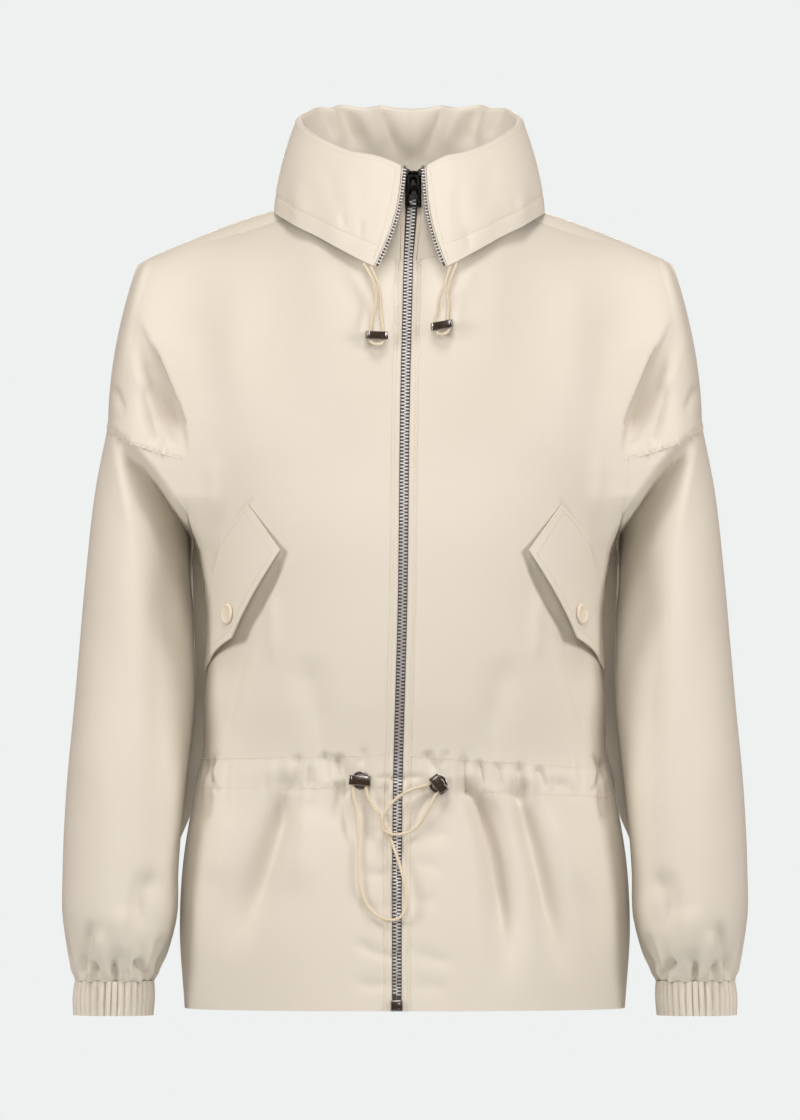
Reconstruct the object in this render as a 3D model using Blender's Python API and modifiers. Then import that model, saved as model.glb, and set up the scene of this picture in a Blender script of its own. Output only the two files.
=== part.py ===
"""Short beige parka, worn shape with nobody in it. Metres, +Z up, the front faces -Y.

The origin is the middle of the neck at the height of the shoulder points, where a wearer's shoulders
carry the coat. Left and right are the wearer's, so left pieces lie at +X.
"""

import math

import bmesh
import bpy
import numpy as np
from mathutils import Matrix, Vector

# Heights of the main lines
ARMHOLE_Z = -0.196
UNDERARM_Z = -0.256
WAIST_Z = -0.450
HEM_Z = -0.634
CUFF_TOP_Z = -0.612
CUFF_LOW_Z = -0.639

# Cloth and seams
CLOTH = 0.0012
DOUBLE_CLOTH = 0.0016
SEAM_GAP = 0.0003
UNDERARM_GAP = 0.0016
TIP_GAP = 0.0009
NECK_GAP = 0.0014
NECK_INSET = 0.0021
ZIP_HALF_WIDTH = 0.0065
TAPE_WIDTH = 0.0042
TAPE = 0.0010

# Numbers of mesh columns and rows
TORSO_COLUMNS = 12
CAP_COLUMNS = 4
YOKE_SHARES = (0, 0.05, 0.12, 0.22, 0.36, 0.52, 0.68, 0.84, 1)
EDGE_ROWS = 4
WAIST_ROWS = (0.017, 0.0, -0.017)
WAIST_CLEAR = 0.034
FINE = 3
NECK_COLUMNS = 6

# Gathers. Those at the waist vary in depth: the mean, the swing about it, and the swing's pace and start
PANEL_WIDTH = 0.225
WAIST_GATHERS = 9
WAIST_GATHER_DEPTH = 0.0024
WAIST_GATHER_REACH = 0.026
GATHER_MEAN = 0.65
GATHER_SWING = 0.35
GATHER_PACE = 0.37
GATHER_START = 1.3
GATHER_SHIFT = {1: -0.2, -1: -1.8}
SLEEVE_GATHERS = 14
SLEEVE_GATHER_DEPTH = 0.0030
SLEEVE_GATHER_REACH = 0.022
SLEEVE_END_FADE = 0.02
SLEEVE_END_SHARE = 0.35
CUFF_GATHERS = 28
CUFF_GATHER_DEPTH = 0.0016
CUFF_CREST = (1.0, 0.35, -0.8)
CUFF_SWELL = (0.4, 1.0, 0.7)
CUFF_WALL = 0.0022
CUFF_CENTRE = (0.2326, -0.0300)
CUFF_HALF_SIZE = (0.0302, 0.0352)
CUFF_LEAN = 0.0010

# Hardware
CORD_DIAMETER = 0.0025
CORD_HOLE = 0.0040
DRILL_SIDES = 12
SNAP_DIAMETER = 0.0150
SNAP_THICKNESS = 0.0026
SNAP_SEAT = 0.0006
SNAP_RIM = 0.0008
SNAP_SIDES = 16
EYELET_RADIUS = 0.0062
EYELET_WIRE = 0.0011
EYELET_ACROSS = 0.0240
EYELET_PATCH = 0.0160
EYELET_FLATNESS = 0.7
STOPPER_BEVEL = 0.0012
PULL_SIZE = (0.0110, 0.0014, 0.0250)
PULL_BEVEL = 0.0005
PULL_BAR = 0.0008
PULL_SLOT = (0.0036, 0.0060, 0.0046)
PULL_WINDOW = (0.0060, 0.0060, 0.0055)
PULL_WINDOW_Z = -0.0197
WINDOW_BEVEL = 0.0008
SLOT_BEVEL = 0.0004
SLIDER_SIZE = (0.0084, 0.0046, 0.0120)
SLIDER_BEVEL = 0.0012
SLIDER_Z = 0.0270
BAIL_RADIUS = 0.0020
BAIL_WIRE = 0.0006
BAIL_HALF_TURN = math.radians(144)
PIVOT_OUT = 0.0014
PIVOT_UP = 0.0010
ZIP_BOX_SIZE = (0.0090, 0.0036, 0.0085)
ZIP_BOX_BEVEL = 0.0007
ZIP_BOX_RISE = 0.0005

RIGHT_ANGLE = math.pi / 2


def table(columns, rows):
    """Named columns of numbers from a short list of rows."""
    return dict(zip(columns.split(), np.array(rows, float).T))


# Half sections of the body below the armholes: half width, and depth before and behind the side seams
TORSO = table("z half_width front back", [
    (-0.634, 0.1755, 0.130, 0.128),
    (-0.568, 0.1795, 0.127, 0.124),
    (-0.520, 0.1770, 0.121, 0.117),
    (-0.470, 0.1690, 0.113, 0.107),
    (-0.440, 0.1625, 0.111, 0.104),
    (-0.388, 0.1600, 0.117, 0.108),
    (-0.308, 0.1575, 0.122, 0.113),
    (-0.256, 0.1690, 0.122, 0.115),
    (-0.196, 0.1880, 0.117, 0.110),
])
SQUARENESS = 2.3
ZIP_SPREAD = 0.05
CHEST_SPAN = 0.24
CHEST_SLOPE = -0.15

# The front closure leans a little to the wearer's right on its way down
LEAN = table("z x", [
    (-0.634, -0.0066), (-0.470, -0.0060), (-0.300, -0.0018),
    (-0.150, 0.0000), (-0.040, 0.0026), (0.090, 0.0050),
])
LEAN_FADE = 0.10
COLLAR_LEAN_FADE = 0.03

# Top edge of each half front and half back, from the centre to the shoulder tip, with the slope of the
# cloth there
FRONT_TOP = table("at x y z slope_x slope_y slope_z", [
    (0.000, 0.0065, -0.086, -0.038, 0.00, -0.05, -0.15),
    (0.160, 0.0450, -0.077, -0.035, 0.00, -0.07, -0.14),
    (0.290, 0.0770, -0.048, -0.022, 0.01, -0.10, -0.12),
    (0.375, 0.0930, -0.016, -0.009, 0.01, -0.13, -0.11),
    (0.550, 0.1320, -0.013, -0.022, 0.01, -0.12, -0.12),
    (0.750, 0.1740, -0.009, -0.033, 0.01, -0.12, -0.09),
    (0.900, 0.2000, -0.006, -0.041, 0.03, -0.11, -0.04),
    (0.950, 0.2070, -0.005, -0.044, 0.04, -0.10, -0.02),
    (1.000, 0.2140, -0.004, -0.047, 0.07, 0.00, -0.09),
])
BACK_TOP = table("at x y z slope_x slope_y slope_z", [
    (0.000, 0.0000, 0.078, 0.012, 0.00, 0.05, -0.15),
    (0.130, 0.0360, 0.073, 0.011, 0.00, 0.06, -0.14),
    (0.260, 0.0700, 0.045, 0.007, 0.01, 0.10, -0.02),
    (0.375, 0.0930, -0.016, -0.009, 0.01, 0.17, 0.16),
    (0.550, 0.1320, -0.013, -0.022, 0.01, 0.17, 0.16),
    (0.750, 0.1740, -0.009, -0.033, 0.01, 0.14, 0.09),
    (0.900, 0.2000, -0.006, -0.041, 0.03, 0.11, 0.03),
    (0.950, 0.2070, -0.005, -0.044, 0.04, 0.10, 0.02),
    (1.000, 0.2140, -0.004, -0.047, 0.07, 0.00, -0.09),
])
NECK_AT = 0.375
TIP_REACH = 0.35
TORSO_AT = TORSO_COLUMNS / (TORSO_COLUMNS + CAP_COLUMNS)

# The dropped shoulder: its armhole seam runs from the valley beside the chest round to the outside of the arm
ARM_OUTSIDE = np.array((0.2370, -0.004, -0.168))
VALLEY_ANGLE = {-1: math.radians(69), 1: math.radians(67)}
CAP_BULGE = {-1: 0.024, 1: 0.026}
CAP_ROUNDNESS = 0.9
UNDERARM_EASE = 0.7
UNDERARM_TIGHT = 0.2

# Sleeve rings: centre, half width and half depth, how much lower the inner side hangs, and how far its rear
# inner side tucks in behind the body
SLEEVE = table("z x y half_width half_depth tilt tuck", [
    (-0.6117, 0.2316, -0.030, 0.0306, 0.036, 0.000, 0.000),
    (-0.6040, 0.2306, -0.030, 0.0330, 0.041, 0.000, 0.000),
    (-0.5880, 0.2292, -0.029, 0.0390, 0.050, 0.000, 0.000),
    (-0.5620, 0.2278, -0.028, 0.0450, 0.058, 0.000, 0.000),
    (-0.5240, 0.2272, -0.026, 0.0458, 0.061, 0.000, 0.000),
    (-0.4680, 0.2238, -0.022, 0.0468, 0.064, 0.000, 0.033),
    (-0.3880, 0.2156, -0.014, 0.0470, 0.067, 0.006, 0.037),
    (-0.3080, 0.2118, -0.007, 0.0432, 0.067, 0.018, 0.036),
    (-0.2500, 0.2085, -0.003, 0.0380, 0.063, 0.034, 0.022),
])
SLEEVE_ROWS = 15
SLEEVE_ROUNDNESS = 0.92
TUCK_SHARPNESS = 5
TUCK_PEAK = 3.86
SLEEVE_SEAM_FADE = 0.08
VALLEY_TURN = 0.66

# Collar: the ring of its fold and the ring of the turned-down leaf's edge, from the front edge round to
# the back
COLLAR_FOLD = table("at x y z", [
    (0.00, 0.0095, -0.0730, 0.0350), (0.12, 0.0270, -0.0700, 0.0425), (0.24, 0.0480, -0.0610, 0.0470),
    (0.40, 0.0760, -0.0360, 0.0600), (0.60, 0.0880, 0.0100, 0.0740), (0.80, 0.0620, 0.0640, 0.0815),
    (1.00, 0.0000, 0.0860, 0.0825),
])
COLLAR_LEAF = table("at x y z", [
    (0.00, 0.0295, -0.1120, -0.0425), (0.12, 0.0470, -0.1040, -0.0335), (0.24, 0.0660, -0.0890, -0.0225),
    (0.40, 0.0930, -0.0560, -0.0080), (0.60, 0.1070, 0.0100, 0.0040), (0.80, 0.0750, 0.0800, 0.0050),
    (1.00, 0.0000, 0.1040, 0.0040),
])
COLLAR_SHIFT = 0.0035
FOLD_RADIUS = 0.0038
LEAF_BULGE = 0.0030
LEAF_FLARE = 0.0040
COLLAR_PUCKERS = 6
COLLAR_PUCKER_DEPTH = 0.0012
PUCKER_AT = 0.8
PUCKER_REACH = 0.2
FLARE_LOW = 0.7
FLARE_REACH = 0.08
NECK_TIGHT = 0.3
STAND_SHARES = (0, 0.4, 0.8, 1)
FOLD_ANGLES = (50, 90, 130)
LEAF_SHARES = (0, 0.3, 0.6, 0.8, 1)
PUCKERED_ROWS = 3

# Large soft folds: where each starts and ends on the unrolled panel, across from the centre and up, its
# half width and its height, with hollows negative
FRONT_FOLDS = table("across_top z_top across_low z_low width height", [
    (0.150, -0.180, 0.200, -0.262, 0.016, 0.0040),
    (0.120, -0.355, 0.175, -0.425, 0.018, -0.0040),
    (0.080, -0.400, 0.120, -0.432, 0.012, -0.0025),
    (0.060, -0.470, 0.100, -0.590, 0.018, -0.0045),
    (0.110, -0.475, 0.125, -0.560, 0.020, 0.0040),
    (0.185, -0.470, 0.180, -0.570, 0.014, -0.0030),
])
BACK_FOLDS = table("across_top z_top across_low z_low width height", [
    (0.060, -0.330, 0.080, -0.430, 0.020, -0.0040),
    (0.150, -0.340, 0.130, -0.430, 0.018, -0.0035),
    (0.045, -0.470, 0.055, -0.600, 0.018, -0.0045),
    (0.130, -0.470, 0.145, -0.610, 0.020, 0.0045),
])
# Sleeve folds: across from the outside of the arm by the front (0.085) to the inside (0.170), or by the
# back (negative)
SLEEVE_HALF_ROUND = 0.170
SLEEVE_FOLDS = table("across_top z_top across_low z_low width height", [
    (0.030, -0.200, 0.105, -0.320, 0.018, -0.0150),
    (0.085, -0.200, 0.145, -0.262, 0.014, 0.0060),
    (0.050, -0.545, 0.070, -0.600, 0.012, -0.0040),
    (0.120, -0.540, 0.105, -0.600, 0.012, -0.0050),
    (-0.060, -0.210, -0.120, -0.320, 0.020, -0.0080),
    (-0.070, -0.540, -0.095, -0.600, 0.014, -0.0050),
])

# Pocket flap on the unrolled front: across from the centre and height of its corners, sewn edge first
FLAP_CORNERS = table("across z", [
    (0.1285, -0.232), (0.2140, -0.308), (0.1045, -0.268), (0.1535, -0.342), (0.2080, -0.364),
])
FLAP_POINT = 0.52
FLAP_COLUMNS = 10
FLAP_ROWS = 4
FLAP_LIFT = 0.0075
FLAP_BASE = 0.0026
FLAP_CURL = 1.5
FLAP_SPREAD = 1.15


def spline(keys, values, at):
    """Smooth curve through values at rising keys, with each slope taken from its neighbours."""
    at = np.asarray(at, float)
    slopes = np.gradient(values, keys, axis=0)
    low = np.clip(np.searchsorted(keys, at, side="right") - 1, 0, len(keys) - 2)
    step = keys[low + 1] - keys[low]
    t = (at - keys[low]) / step
    if values.ndim > 1:
        step, t = step[..., None], t[..., None]
    return hermite(values[low], slopes[low] * step, values[low + 1], slopes[low + 1] * step, t)


def hermite(start, start_slope, end, end_slope, t):
    """Cubic curve from start to end with the given end slopes."""
    return ((2 * t**3 - 3 * t**2 + 1) * start + (t**3 - 2 * t**2 + t) * start_slope
            + (3 * t**2 - 2 * t**3) * end + (t**3 - t**2) * end_slope)


def read(sizes, column, at):
    """One column of a table at any place between its rows."""
    return spline(sizes[next(iter(sizes))], sizes[column], at)


def read_points(sizes, columns, at):
    return np.stack([read(sizes, column, at) for column in columns.split()], axis=-1)


def window(distance, reach):
    """1 at distance 0, falling smoothly to 0."""
    return np.exp(-(distance / reach) ** 2)


def unit(vectors):
    return vectors / np.maximum(np.linalg.norm(vectors, axis=-1, keepdims=True), 1e-9)


def fold_height(folds, across, z):
    """Sum of the soft folds at places on an unrolled panel, positive outward."""
    names = list(folds)
    total = np.zeros(np.broadcast(across, z).shape)
    for row in zip(*(folds[name] for name in names)):
        a0, z0, a1, z1, width, height = row
        run = np.array((a1 - a0, z1 - z0))
        share = ((across - a0) * run[0] + (z - z0) * run[1]) / (run @ run)
        held = np.clip(share, 0, 1)
        away = np.hypot(across - a0 - held * run[0], z - z0 - held * run[1])
        total = total + height * window(away, width)
    return total


def waist_gathers(across, z, face, side):
    """Puckers drawn up by the waist cord, uneven in depth, fading above and below its channel.

    They start evenly at the middle of the back and differently on the two fronts, which are flat round the
    eyelets.
    """
    wave = 2 * math.pi * WAIST_GATHERS * across / PANEL_WIDTH
    depth = WAIST_GATHER_DEPTH * (GATHER_MEAN + GATHER_SWING * np.sin(GATHER_PACE * wave + GATHER_START))
    if face < 0:
        wave = wave + GATHER_SHIFT[side]
        depth = depth * (1 - window(np.hypot(across - EYELET_ACROSS, z - WAIST_Z), EYELET_PATCH))
    return depth * np.cos(wave) * window(z - WAIST_Z, WAIST_GATHER_REACH)


def torso_ring(z, face):
    """Points of a half section from the centre to the side seam, and how far along the cloth each lies."""
    angle = np.linspace(0, RIGHT_ANGLE, 61)
    power = 2 / SQUARENESS
    depth = read(TORSO, "front" if face < 0 else "back", z)
    x = read(TORSO, "half_width", z) * np.sin(angle) ** power
    y = face * depth * np.cos(angle) ** power
    along = np.concatenate([[0], np.cumsum(np.hypot(np.diff(x), np.diff(y)))])
    return angle, x, y, along


def torso_edge(z, face):
    """Angle at which the panel ends: the valley at the armhole, turning to the side seam at the underarm."""
    share = np.clip((ARMHOLE_Z - z) / (ARMHOLE_Z - UNDERARM_Z), 0, 1)
    return VALLEY_ANGLE[face] + (RIGHT_ANGLE - VALLEY_ANGLE[face]) * share


def torso_points(across, z, face, side=1, lift=0.0):
    """Points of the body cloth at distances across from the centre at one height, moved out by lift."""
    angle, x, y, along = torso_ring(z, face)
    half_width, depth = x[-1], abs(y[0])
    px, py = np.interp(across, along, x), np.interp(across, along, y)
    outward = unit(np.stack([px / half_width**2, py / depth**2], axis=-1))
    folds = FRONT_FOLDS if face < 0 else BACK_FOLDS
    if face < 0:
        px = px + ZIP_HALF_WIDTH * window(px, ZIP_SPREAD)
    lift = lift + fold_height(folds, across, z) + waist_gathers(across, z, face, side)
    return np.stack([px + outward[..., 0] * lift, py + outward[..., 1] * lift, np.full_like(px, z)], axis=-1)


def torso_length(z, face):
    """Length of cloth from the centre to the panel's edge."""
    angle, _, _, along = torso_ring(z, face)
    return np.interp(torso_edge(z, face), angle, along)


def armhole_row(face, at):
    """Points of the chest line and of the armhole seam that continues it round the arm."""
    across = np.minimum(at / TORSO_AT, 1) * torso_length(ARMHOLE_Z, face)
    chest = torso_points(across, ARMHOLE_Z, face)
    valley = torso_points(np.array([torso_length(ARMHOLE_Z, face)]), ARMHOLE_Z, face)[0]
    turn = np.clip((at - TORSO_AT) / (1 - TORSO_AT), 0, 1)
    run = ARM_OUTSIDE - valley
    bulge = face * CAP_BULGE[face] * np.sin(math.pi * turn)
    cap = np.stack([
        valley[0] + run[0] * np.sin(turn * RIGHT_ANGLE) ** CAP_ROUNDNESS,
        valley[1] * np.cos(turn * RIGHT_ANGLE) + ARM_OUTSIDE[1] * turn + bulge,
        valley[2] + run[2] * turn,
    ], axis=-1)
    return np.where((at <= TORSO_AT)[:, None], chest, cap)


def top_points(face, columns, at):
    """Columns of the top edge, read apart on the neckline and the shoulder, which meet at a corner."""
    top = FRONT_TOP if face < 0 else BACK_TOP
    on_neck = {name: values[top["at"] <= NECK_AT] for name, values in top.items()}
    on_shoulder = {name: values[top["at"] >= NECK_AT] for name, values in top.items()}
    neck, shoulder = read_points(on_neck, columns, at), read_points(on_shoulder, columns, at)
    return np.where((at <= NECK_AT)[:, None], neck, shoulder)


def yoke_rows(face, at, shares):
    """Rows from the neck and shoulder seam down to the chest line."""
    start, slope = top_points(face, "x y z", at), top_points(face, "slope_x slope_y slope_z", at)
    end = armhole_row(face, at)
    below = np.stack([0 * at, 0 * at, np.full_like(at, CHEST_SLOPE)], axis=-1)
    return [hermite(start, slope, end, below, share) for share in shares]


def lean(points, fade=LEAN_FADE):
    """Moves the front closure sideways, fading out towards the side seams."""
    moved = points.copy()
    moved[..., 0] += read(LEAN, "x", points[..., 2]) * window(points[..., 0], fade) * (points[..., 1] < 0)
    return moved


def panel_heights():
    """Heights of the rows below the chest line, and whether each is finely divided."""
    edge = np.linspace(ARMHOLE_Z, UNDERARM_Z, EDGE_ROWS + 1)[1:]
    body = np.linspace(UNDERARM_Z, WAIST_Z + WAIST_CLEAR, 6)[1:]
    waist = WAIST_Z + np.array(WAIST_ROWS)
    skirt = np.linspace(WAIST_Z - WAIST_CLEAR, HEM_Z, 6)
    heights = np.concatenate([edge, body, waist, skirt])
    fine = np.isin(heights, waist)
    return heights, fine


def trim(row, gap, end=-1):
    """Draws one end of a row back along itself, which leaves half of a seam's gap."""
    inner = row[-2] if end == -1 else row[1]
    row[end] += gap * unit(inner - row[end])


def half_panel(face, side):
    """Rows of a half front or half back for the wearer's left (side 1) or right (side -1), top to hem."""
    columns = TORSO_COLUMNS + CAP_COLUMNS
    at = np.linspace(0, 1, columns + 1)
    rows = yoke_rows(face, at, YOKE_SHARES)
    rows[0] = rows[0] + SEAM_GAP / 2 * unit(rows[1] - rows[0])
    rows[-1][TORSO_COLUMNS + 1:] += (SEAM_GAP / 2 * unit(rows[-2] - rows[-1]))[TORSO_COLUMNS + 1:]
    for row, share in zip(rows, YOKE_SHARES):
        trim(row, SEAM_GAP / 2 + TIP_GAP * window(share, TIP_REACH))
    rows[0][-1, 1] += face * TIP_GAP / 2
    for z, fine in zip(*panel_heights()):
        count = TORSO_COLUMNS * (FINE if fine else 1) + 1
        row = torso_points(np.linspace(0, torso_length(z, face), count), z, face, side)
        trim(row, UNDERARM_GAP / 2 if z > UNDERARM_Z + 1e-6 else SEAM_GAP / 2)
        rows.append(row)
    return [lean(row * np.array((side, 1, 1))) for row in rows]


# Meshes and objects
def palette():
    """One principled material for each finish: colour, roughness and metallic value."""
    finishes = {
        "cloth": ((0.80, 0.71, 0.59), 0.62, 0.0), "cord": ((0.85, 0.75, 0.55), 0.55, 0.0),
        "tape": ((0.78, 0.69, 0.57), 0.75, 0.0), "metal": ((0.22, 0.20, 0.20), 0.25, 1.0),
        "snap": ((0.80, 0.72, 0.60), 0.40, 0.0),
    }
    made = {}
    for name, (colour, roughness, metallic) in finishes.items():
        material = bpy.data.materials.new(name)
        material.use_nodes = True
        shader = material.node_tree.nodes["Principled BSDF"]
        shader.inputs["Base Color"].default_value = (*colour, 1)
        shader.inputs["Roughness"].default_value = roughness
        shader.inputs["Metallic"].default_value = metallic
        made[name] = material
    return made


class Coat:
    """The collection that holds the parts, and the ways of adding one."""

    def __init__(self):
        self.parts = bpy.data.collections.new("parka")
        self.cutters = bpy.data.collections.new("cutters")
        for collection in (self.parts, self.cutters):
            bpy.context.scene.collection.children.link(collection)
        self.finish = palette()

    def add(self, name, data, finish):
        part = bpy.data.objects.new(name, data)
        part.data.materials.append(self.finish[finish])
        self.parts.objects.link(part)
        return part

    def cutter(self, name, mesh):
        part = bpy.data.objects.new(name, mesh)
        part.hide_render = True
        part.display_type = "WIRE"
        self.cutters.objects.link(part)
        return part

    def sheet(self, name, faces_of, finish, thickness):
        """A cloth wall: an open surface made by faces_of, thickened to both sides."""
        mesh = bpy.data.meshes.new(name)
        bm = bmesh.new()
        faces_of(bm)
        bm.to_mesh(mesh)
        bm.free()
        mesh.shade_smooth()
        part = self.add(name, mesh, finish)
        wall = part.modifiers.new("wall", "SOLIDIFY")
        wall.thickness = thickness
        wall.offset = 0
        return part


def place(bm, row):
    return [bm.verts.new(point) for point in row]


def strip(bm, upper, lower, closed=False):
    """Faces between two rows of points. One row may be divided more finely than the other."""
    if closed:
        upper, lower = upper + upper[:1], lower + lower[:1]
    cells = min(len(upper), len(lower)) - 1
    a, b = (len(upper) - 1) // cells, (len(lower) - 1) // cells
    for k in range(cells):
        bm.faces.new(upper[k * a:(k + 1) * a + 1] + lower[k * b:(k + 1) * b + 1][::-1])


def rows_faces(bm, rows, closed=False):
    """Faces over a whole list of rows, top to bottom."""
    placed = [place(bm, row) for row in rows]
    for upper, lower in zip(placed[:-1], placed[1:]):
        strip(bm, upper, lower, closed)


def panel_faces(bm, rows):
    """Faces of a half panel: full rows on the yoke, then only the body columns."""
    placed = [place(bm, row) for row in rows]
    for k in range(len(rows) - 1):
        upper = placed[k]
        if k == len(YOKE_SHARES) - 1:
            upper = upper[:TORSO_COLUMNS + 1]
        strip(bm, upper, placed[k + 1])


def make_front(coat, name, side):
    coat.sheet(name, lambda bm: panel_faces(bm, half_panel(-1, side)), "cloth", CLOTH)


def make_back(coat):
    def faces(bm):
        for side in (1, -1):
            panel_faces(bm, half_panel(1, side))
        bmesh.ops.remove_doubles(bm, verts=bm.verts, dist=1e-6)
        bmesh.ops.recalc_face_normals(bm, faces=bm.faces)

    coat.sheet("back", faces, "cloth", CLOTH)


# Sleeves and cuffs
def sleeve_turns():
    """Turns of the sleeve's columns: 0 outside, by the front to 1 inside, and by the back to 2."""
    cap = np.linspace(0, VALLEY_TURN, CAP_COLUMNS + 1)
    edge = np.linspace(VALLEY_TURN, 1, EDGE_ROWS + 1)[1:]
    front = np.concatenate([cap, edge])
    return np.concatenate([front, 2 - front[-2:0:-1]])


def armhole_point(turn):
    """Point of the armhole seam at one turn of the sleeve."""
    face = -1 if turn <= 1 else 1
    half = min(turn, 2 - turn)
    if half <= VALLEY_TURN:
        at = 1 - (1 - TORSO_AT) * half / VALLEY_TURN
        return armhole_row(face, np.array([at]))[0]
    z = ARMHOLE_Z + (UNDERARM_Z - ARMHOLE_Z) * (half - VALLEY_TURN) / (1 - VALLEY_TURN)
    return torso_points(np.array([torso_length(z, face)]), z, face)[0]


def armhole_gap(turn):
    """How far the sleeve stands off the armhole: a seam's gap outside, more in the fold under the arm."""
    half = min(turn, 2 - turn)
    tight = np.clip((half - VALLEY_TURN) / UNDERARM_TIGHT + 1, 0, 1)
    under = np.clip((half - VALLEY_TURN) / (1 - VALLEY_TURN), 0, 1)
    aside = UNDERARM_EASE + (1 - UNDERARM_EASE) * under
    deep = UNDERARM_GAP * np.array((aside, 0, UNDERARM_EASE * (under - 1)))
    return deep * tight + np.array((0, 0, -SEAM_GAP / 2)) * (1 - tight)


def sleeve_ring(row, turn):
    """Point of one sleeve ring, a rounded oval about the arm's line."""
    angle = math.pi * turn
    across, deep = math.cos(angle), math.sin(angle)
    wide = math.copysign(abs(across) ** SLEEVE_ROUNDNESS, across)
    forward = math.copysign(abs(deep) ** SLEEVE_ROUNDNESS, deep)
    behind = TUCK_PEAK * max(-across, 0) * max(-deep, 0) ** TUCK_SHARPNESS
    return np.array((
        SLEEVE["x"][row] + SLEEVE["half_width"][row] * wide - SLEEVE["tuck"][row] * behind,
        SLEEVE["y"][row] - SLEEVE["half_depth"][row] * forward,
        SLEEVE["z"][row] + SLEEVE["tilt"][row] * across,
    ))


def sleeve_column(turn, shares):
    """Points down one column of the sleeve, from the armhole (0) to the cuff (1)."""
    rings = [sleeve_ring(row, turn) for row in range(len(SLEEVE["z"]))]
    guide = np.array([armhole_point(turn) + armhole_gap(turn)] + rings[::-1])
    along = np.concatenate([[0], np.cumsum(np.linalg.norm(np.diff(guide, axis=0), axis=1))])
    return spline(along, guide, shares * along[-1])


def sleeve_shape(turns, shares):
    """Rows of sleeve points, top to bottom, with the large folds and the gathers above the cuff."""
    grid = np.stack([sleeve_column(turn, shares) for turn in turns], axis=1)
    centre = grid.mean(axis=1, keepdims=True)
    outward = unit((grid - centre) * np.array((1, 1, 0)))
    signed = np.where(turns <= 1, turns, turns - 2) * SLEEVE_HALF_ROUND
    lift = fold_height(SLEEVE_FOLDS, np.broadcast_to(signed, grid.shape[:2]), grid[..., 2])
    seam = np.clip(shares / SLEEVE_SEAM_FADE, 0, 1)[:, None]
    end = np.clip((1 - shares) / SLEEVE_END_FADE, SLEEVE_END_SHARE, 1)[:, None]
    gathers = np.cos(math.pi * SLEEVE_GATHERS * turns) * SLEEVE_GATHER_DEPTH
    near_cuff = window(grid[..., 2] - CUFF_TOP_Z, SLEEVE_GATHER_REACH)
    return grid + outward * ((lift * seam + gathers * near_cuff) * end)[..., None]


def make_sleeve(coat, name, side):
    shares = np.linspace(0, 1, SLEEVE_ROWS + 1)
    coarse = sleeve_turns()
    steps = np.concatenate([coarse, [2]])
    fine = np.concatenate([np.linspace(a, b, FINE, endpoint=False) for a, b in zip(steps[:-1], steps[1:])])
    full, gathered = sleeve_shape(coarse, shares), sleeve_shape(fine, shares)
    rows = [row * np.array((side, 1, 1)) for row in (*full[:-3], *gathered[-3:])]
    coat.sheet(name, lambda bm: rows_faces(bm, rows, closed=True), "cloth", CLOTH)


def cuff_ring(turn, grow, z):
    """Points of an oval round the wrist, grown outwards by grow."""
    share = (z - CUFF_LOW_Z) / (CUFF_TOP_Z - CUFF_LOW_Z)
    x = CUFF_CENTRE[0] - CUFF_LEAN * share + (CUFF_HALF_SIZE[0] + grow) * np.cos(math.pi * turn)
    y = CUFF_CENTRE[1] - (CUFF_HALF_SIZE[1] + grow) * np.sin(math.pi * turn)
    return np.stack([x, y, np.broadcast_to(z, x.shape)], axis=-1)


def make_cuff(coat, name, side):
    """An elastic cuff: gathered outside, plain inside."""
    turn = np.linspace(0, 2, CUFF_GATHERS * len(CUFF_CREST), endpoint=False)
    crest = np.tile(CUFF_CREST, CUFF_GATHERS)
    heights = (CUFF_TOP_Z - SEAM_GAP, (CUFF_TOP_Z + CUFF_LOW_Z) / 2, CUFF_LOW_Z)
    mesh = bpy.data.meshes.new(name)
    bm = bmesh.new()
    outer = [place(bm, cuff_ring(turn, CUFF_GATHER_DEPTH * part * crest, z) * np.array((side, 1, 1)))
             for z, part in zip(heights, CUFF_SWELL)]
    inner = [place(bm, cuff_ring(turn, -CUFF_WALL, z) * np.array((side, 1, 1))) for z in heights]
    loop = outer + inner[::-1] + outer[:1]
    for upper, lower in zip(loop[:-1], loop[1:]):
        strip(bm, upper, lower, closed=True)
    bmesh.ops.recalc_face_normals(bm, faces=bm.faces)
    bm.to_mesh(mesh)
    bm.free()
    mesh.shade_smooth()
    coat.add(name, mesh, "cloth")


# Collar
def collar_ats():
    """Places round the half collar, from the front edge (0) to the back (1)."""
    return np.linspace(0, 1, 2 * NECK_COLUMNS + 1)


def neck_points(at):
    """Neckline of the body at places round the half collar."""
    front = top_points(-1, "x y z", np.clip(at * 2, 0, 1) * NECK_AT)
    back = top_points(1, "x y z", np.clip(2 - at * 2, 0, 1) * NECK_AT)
    return np.where((at <= 0.5)[:, None], front, back)


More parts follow.
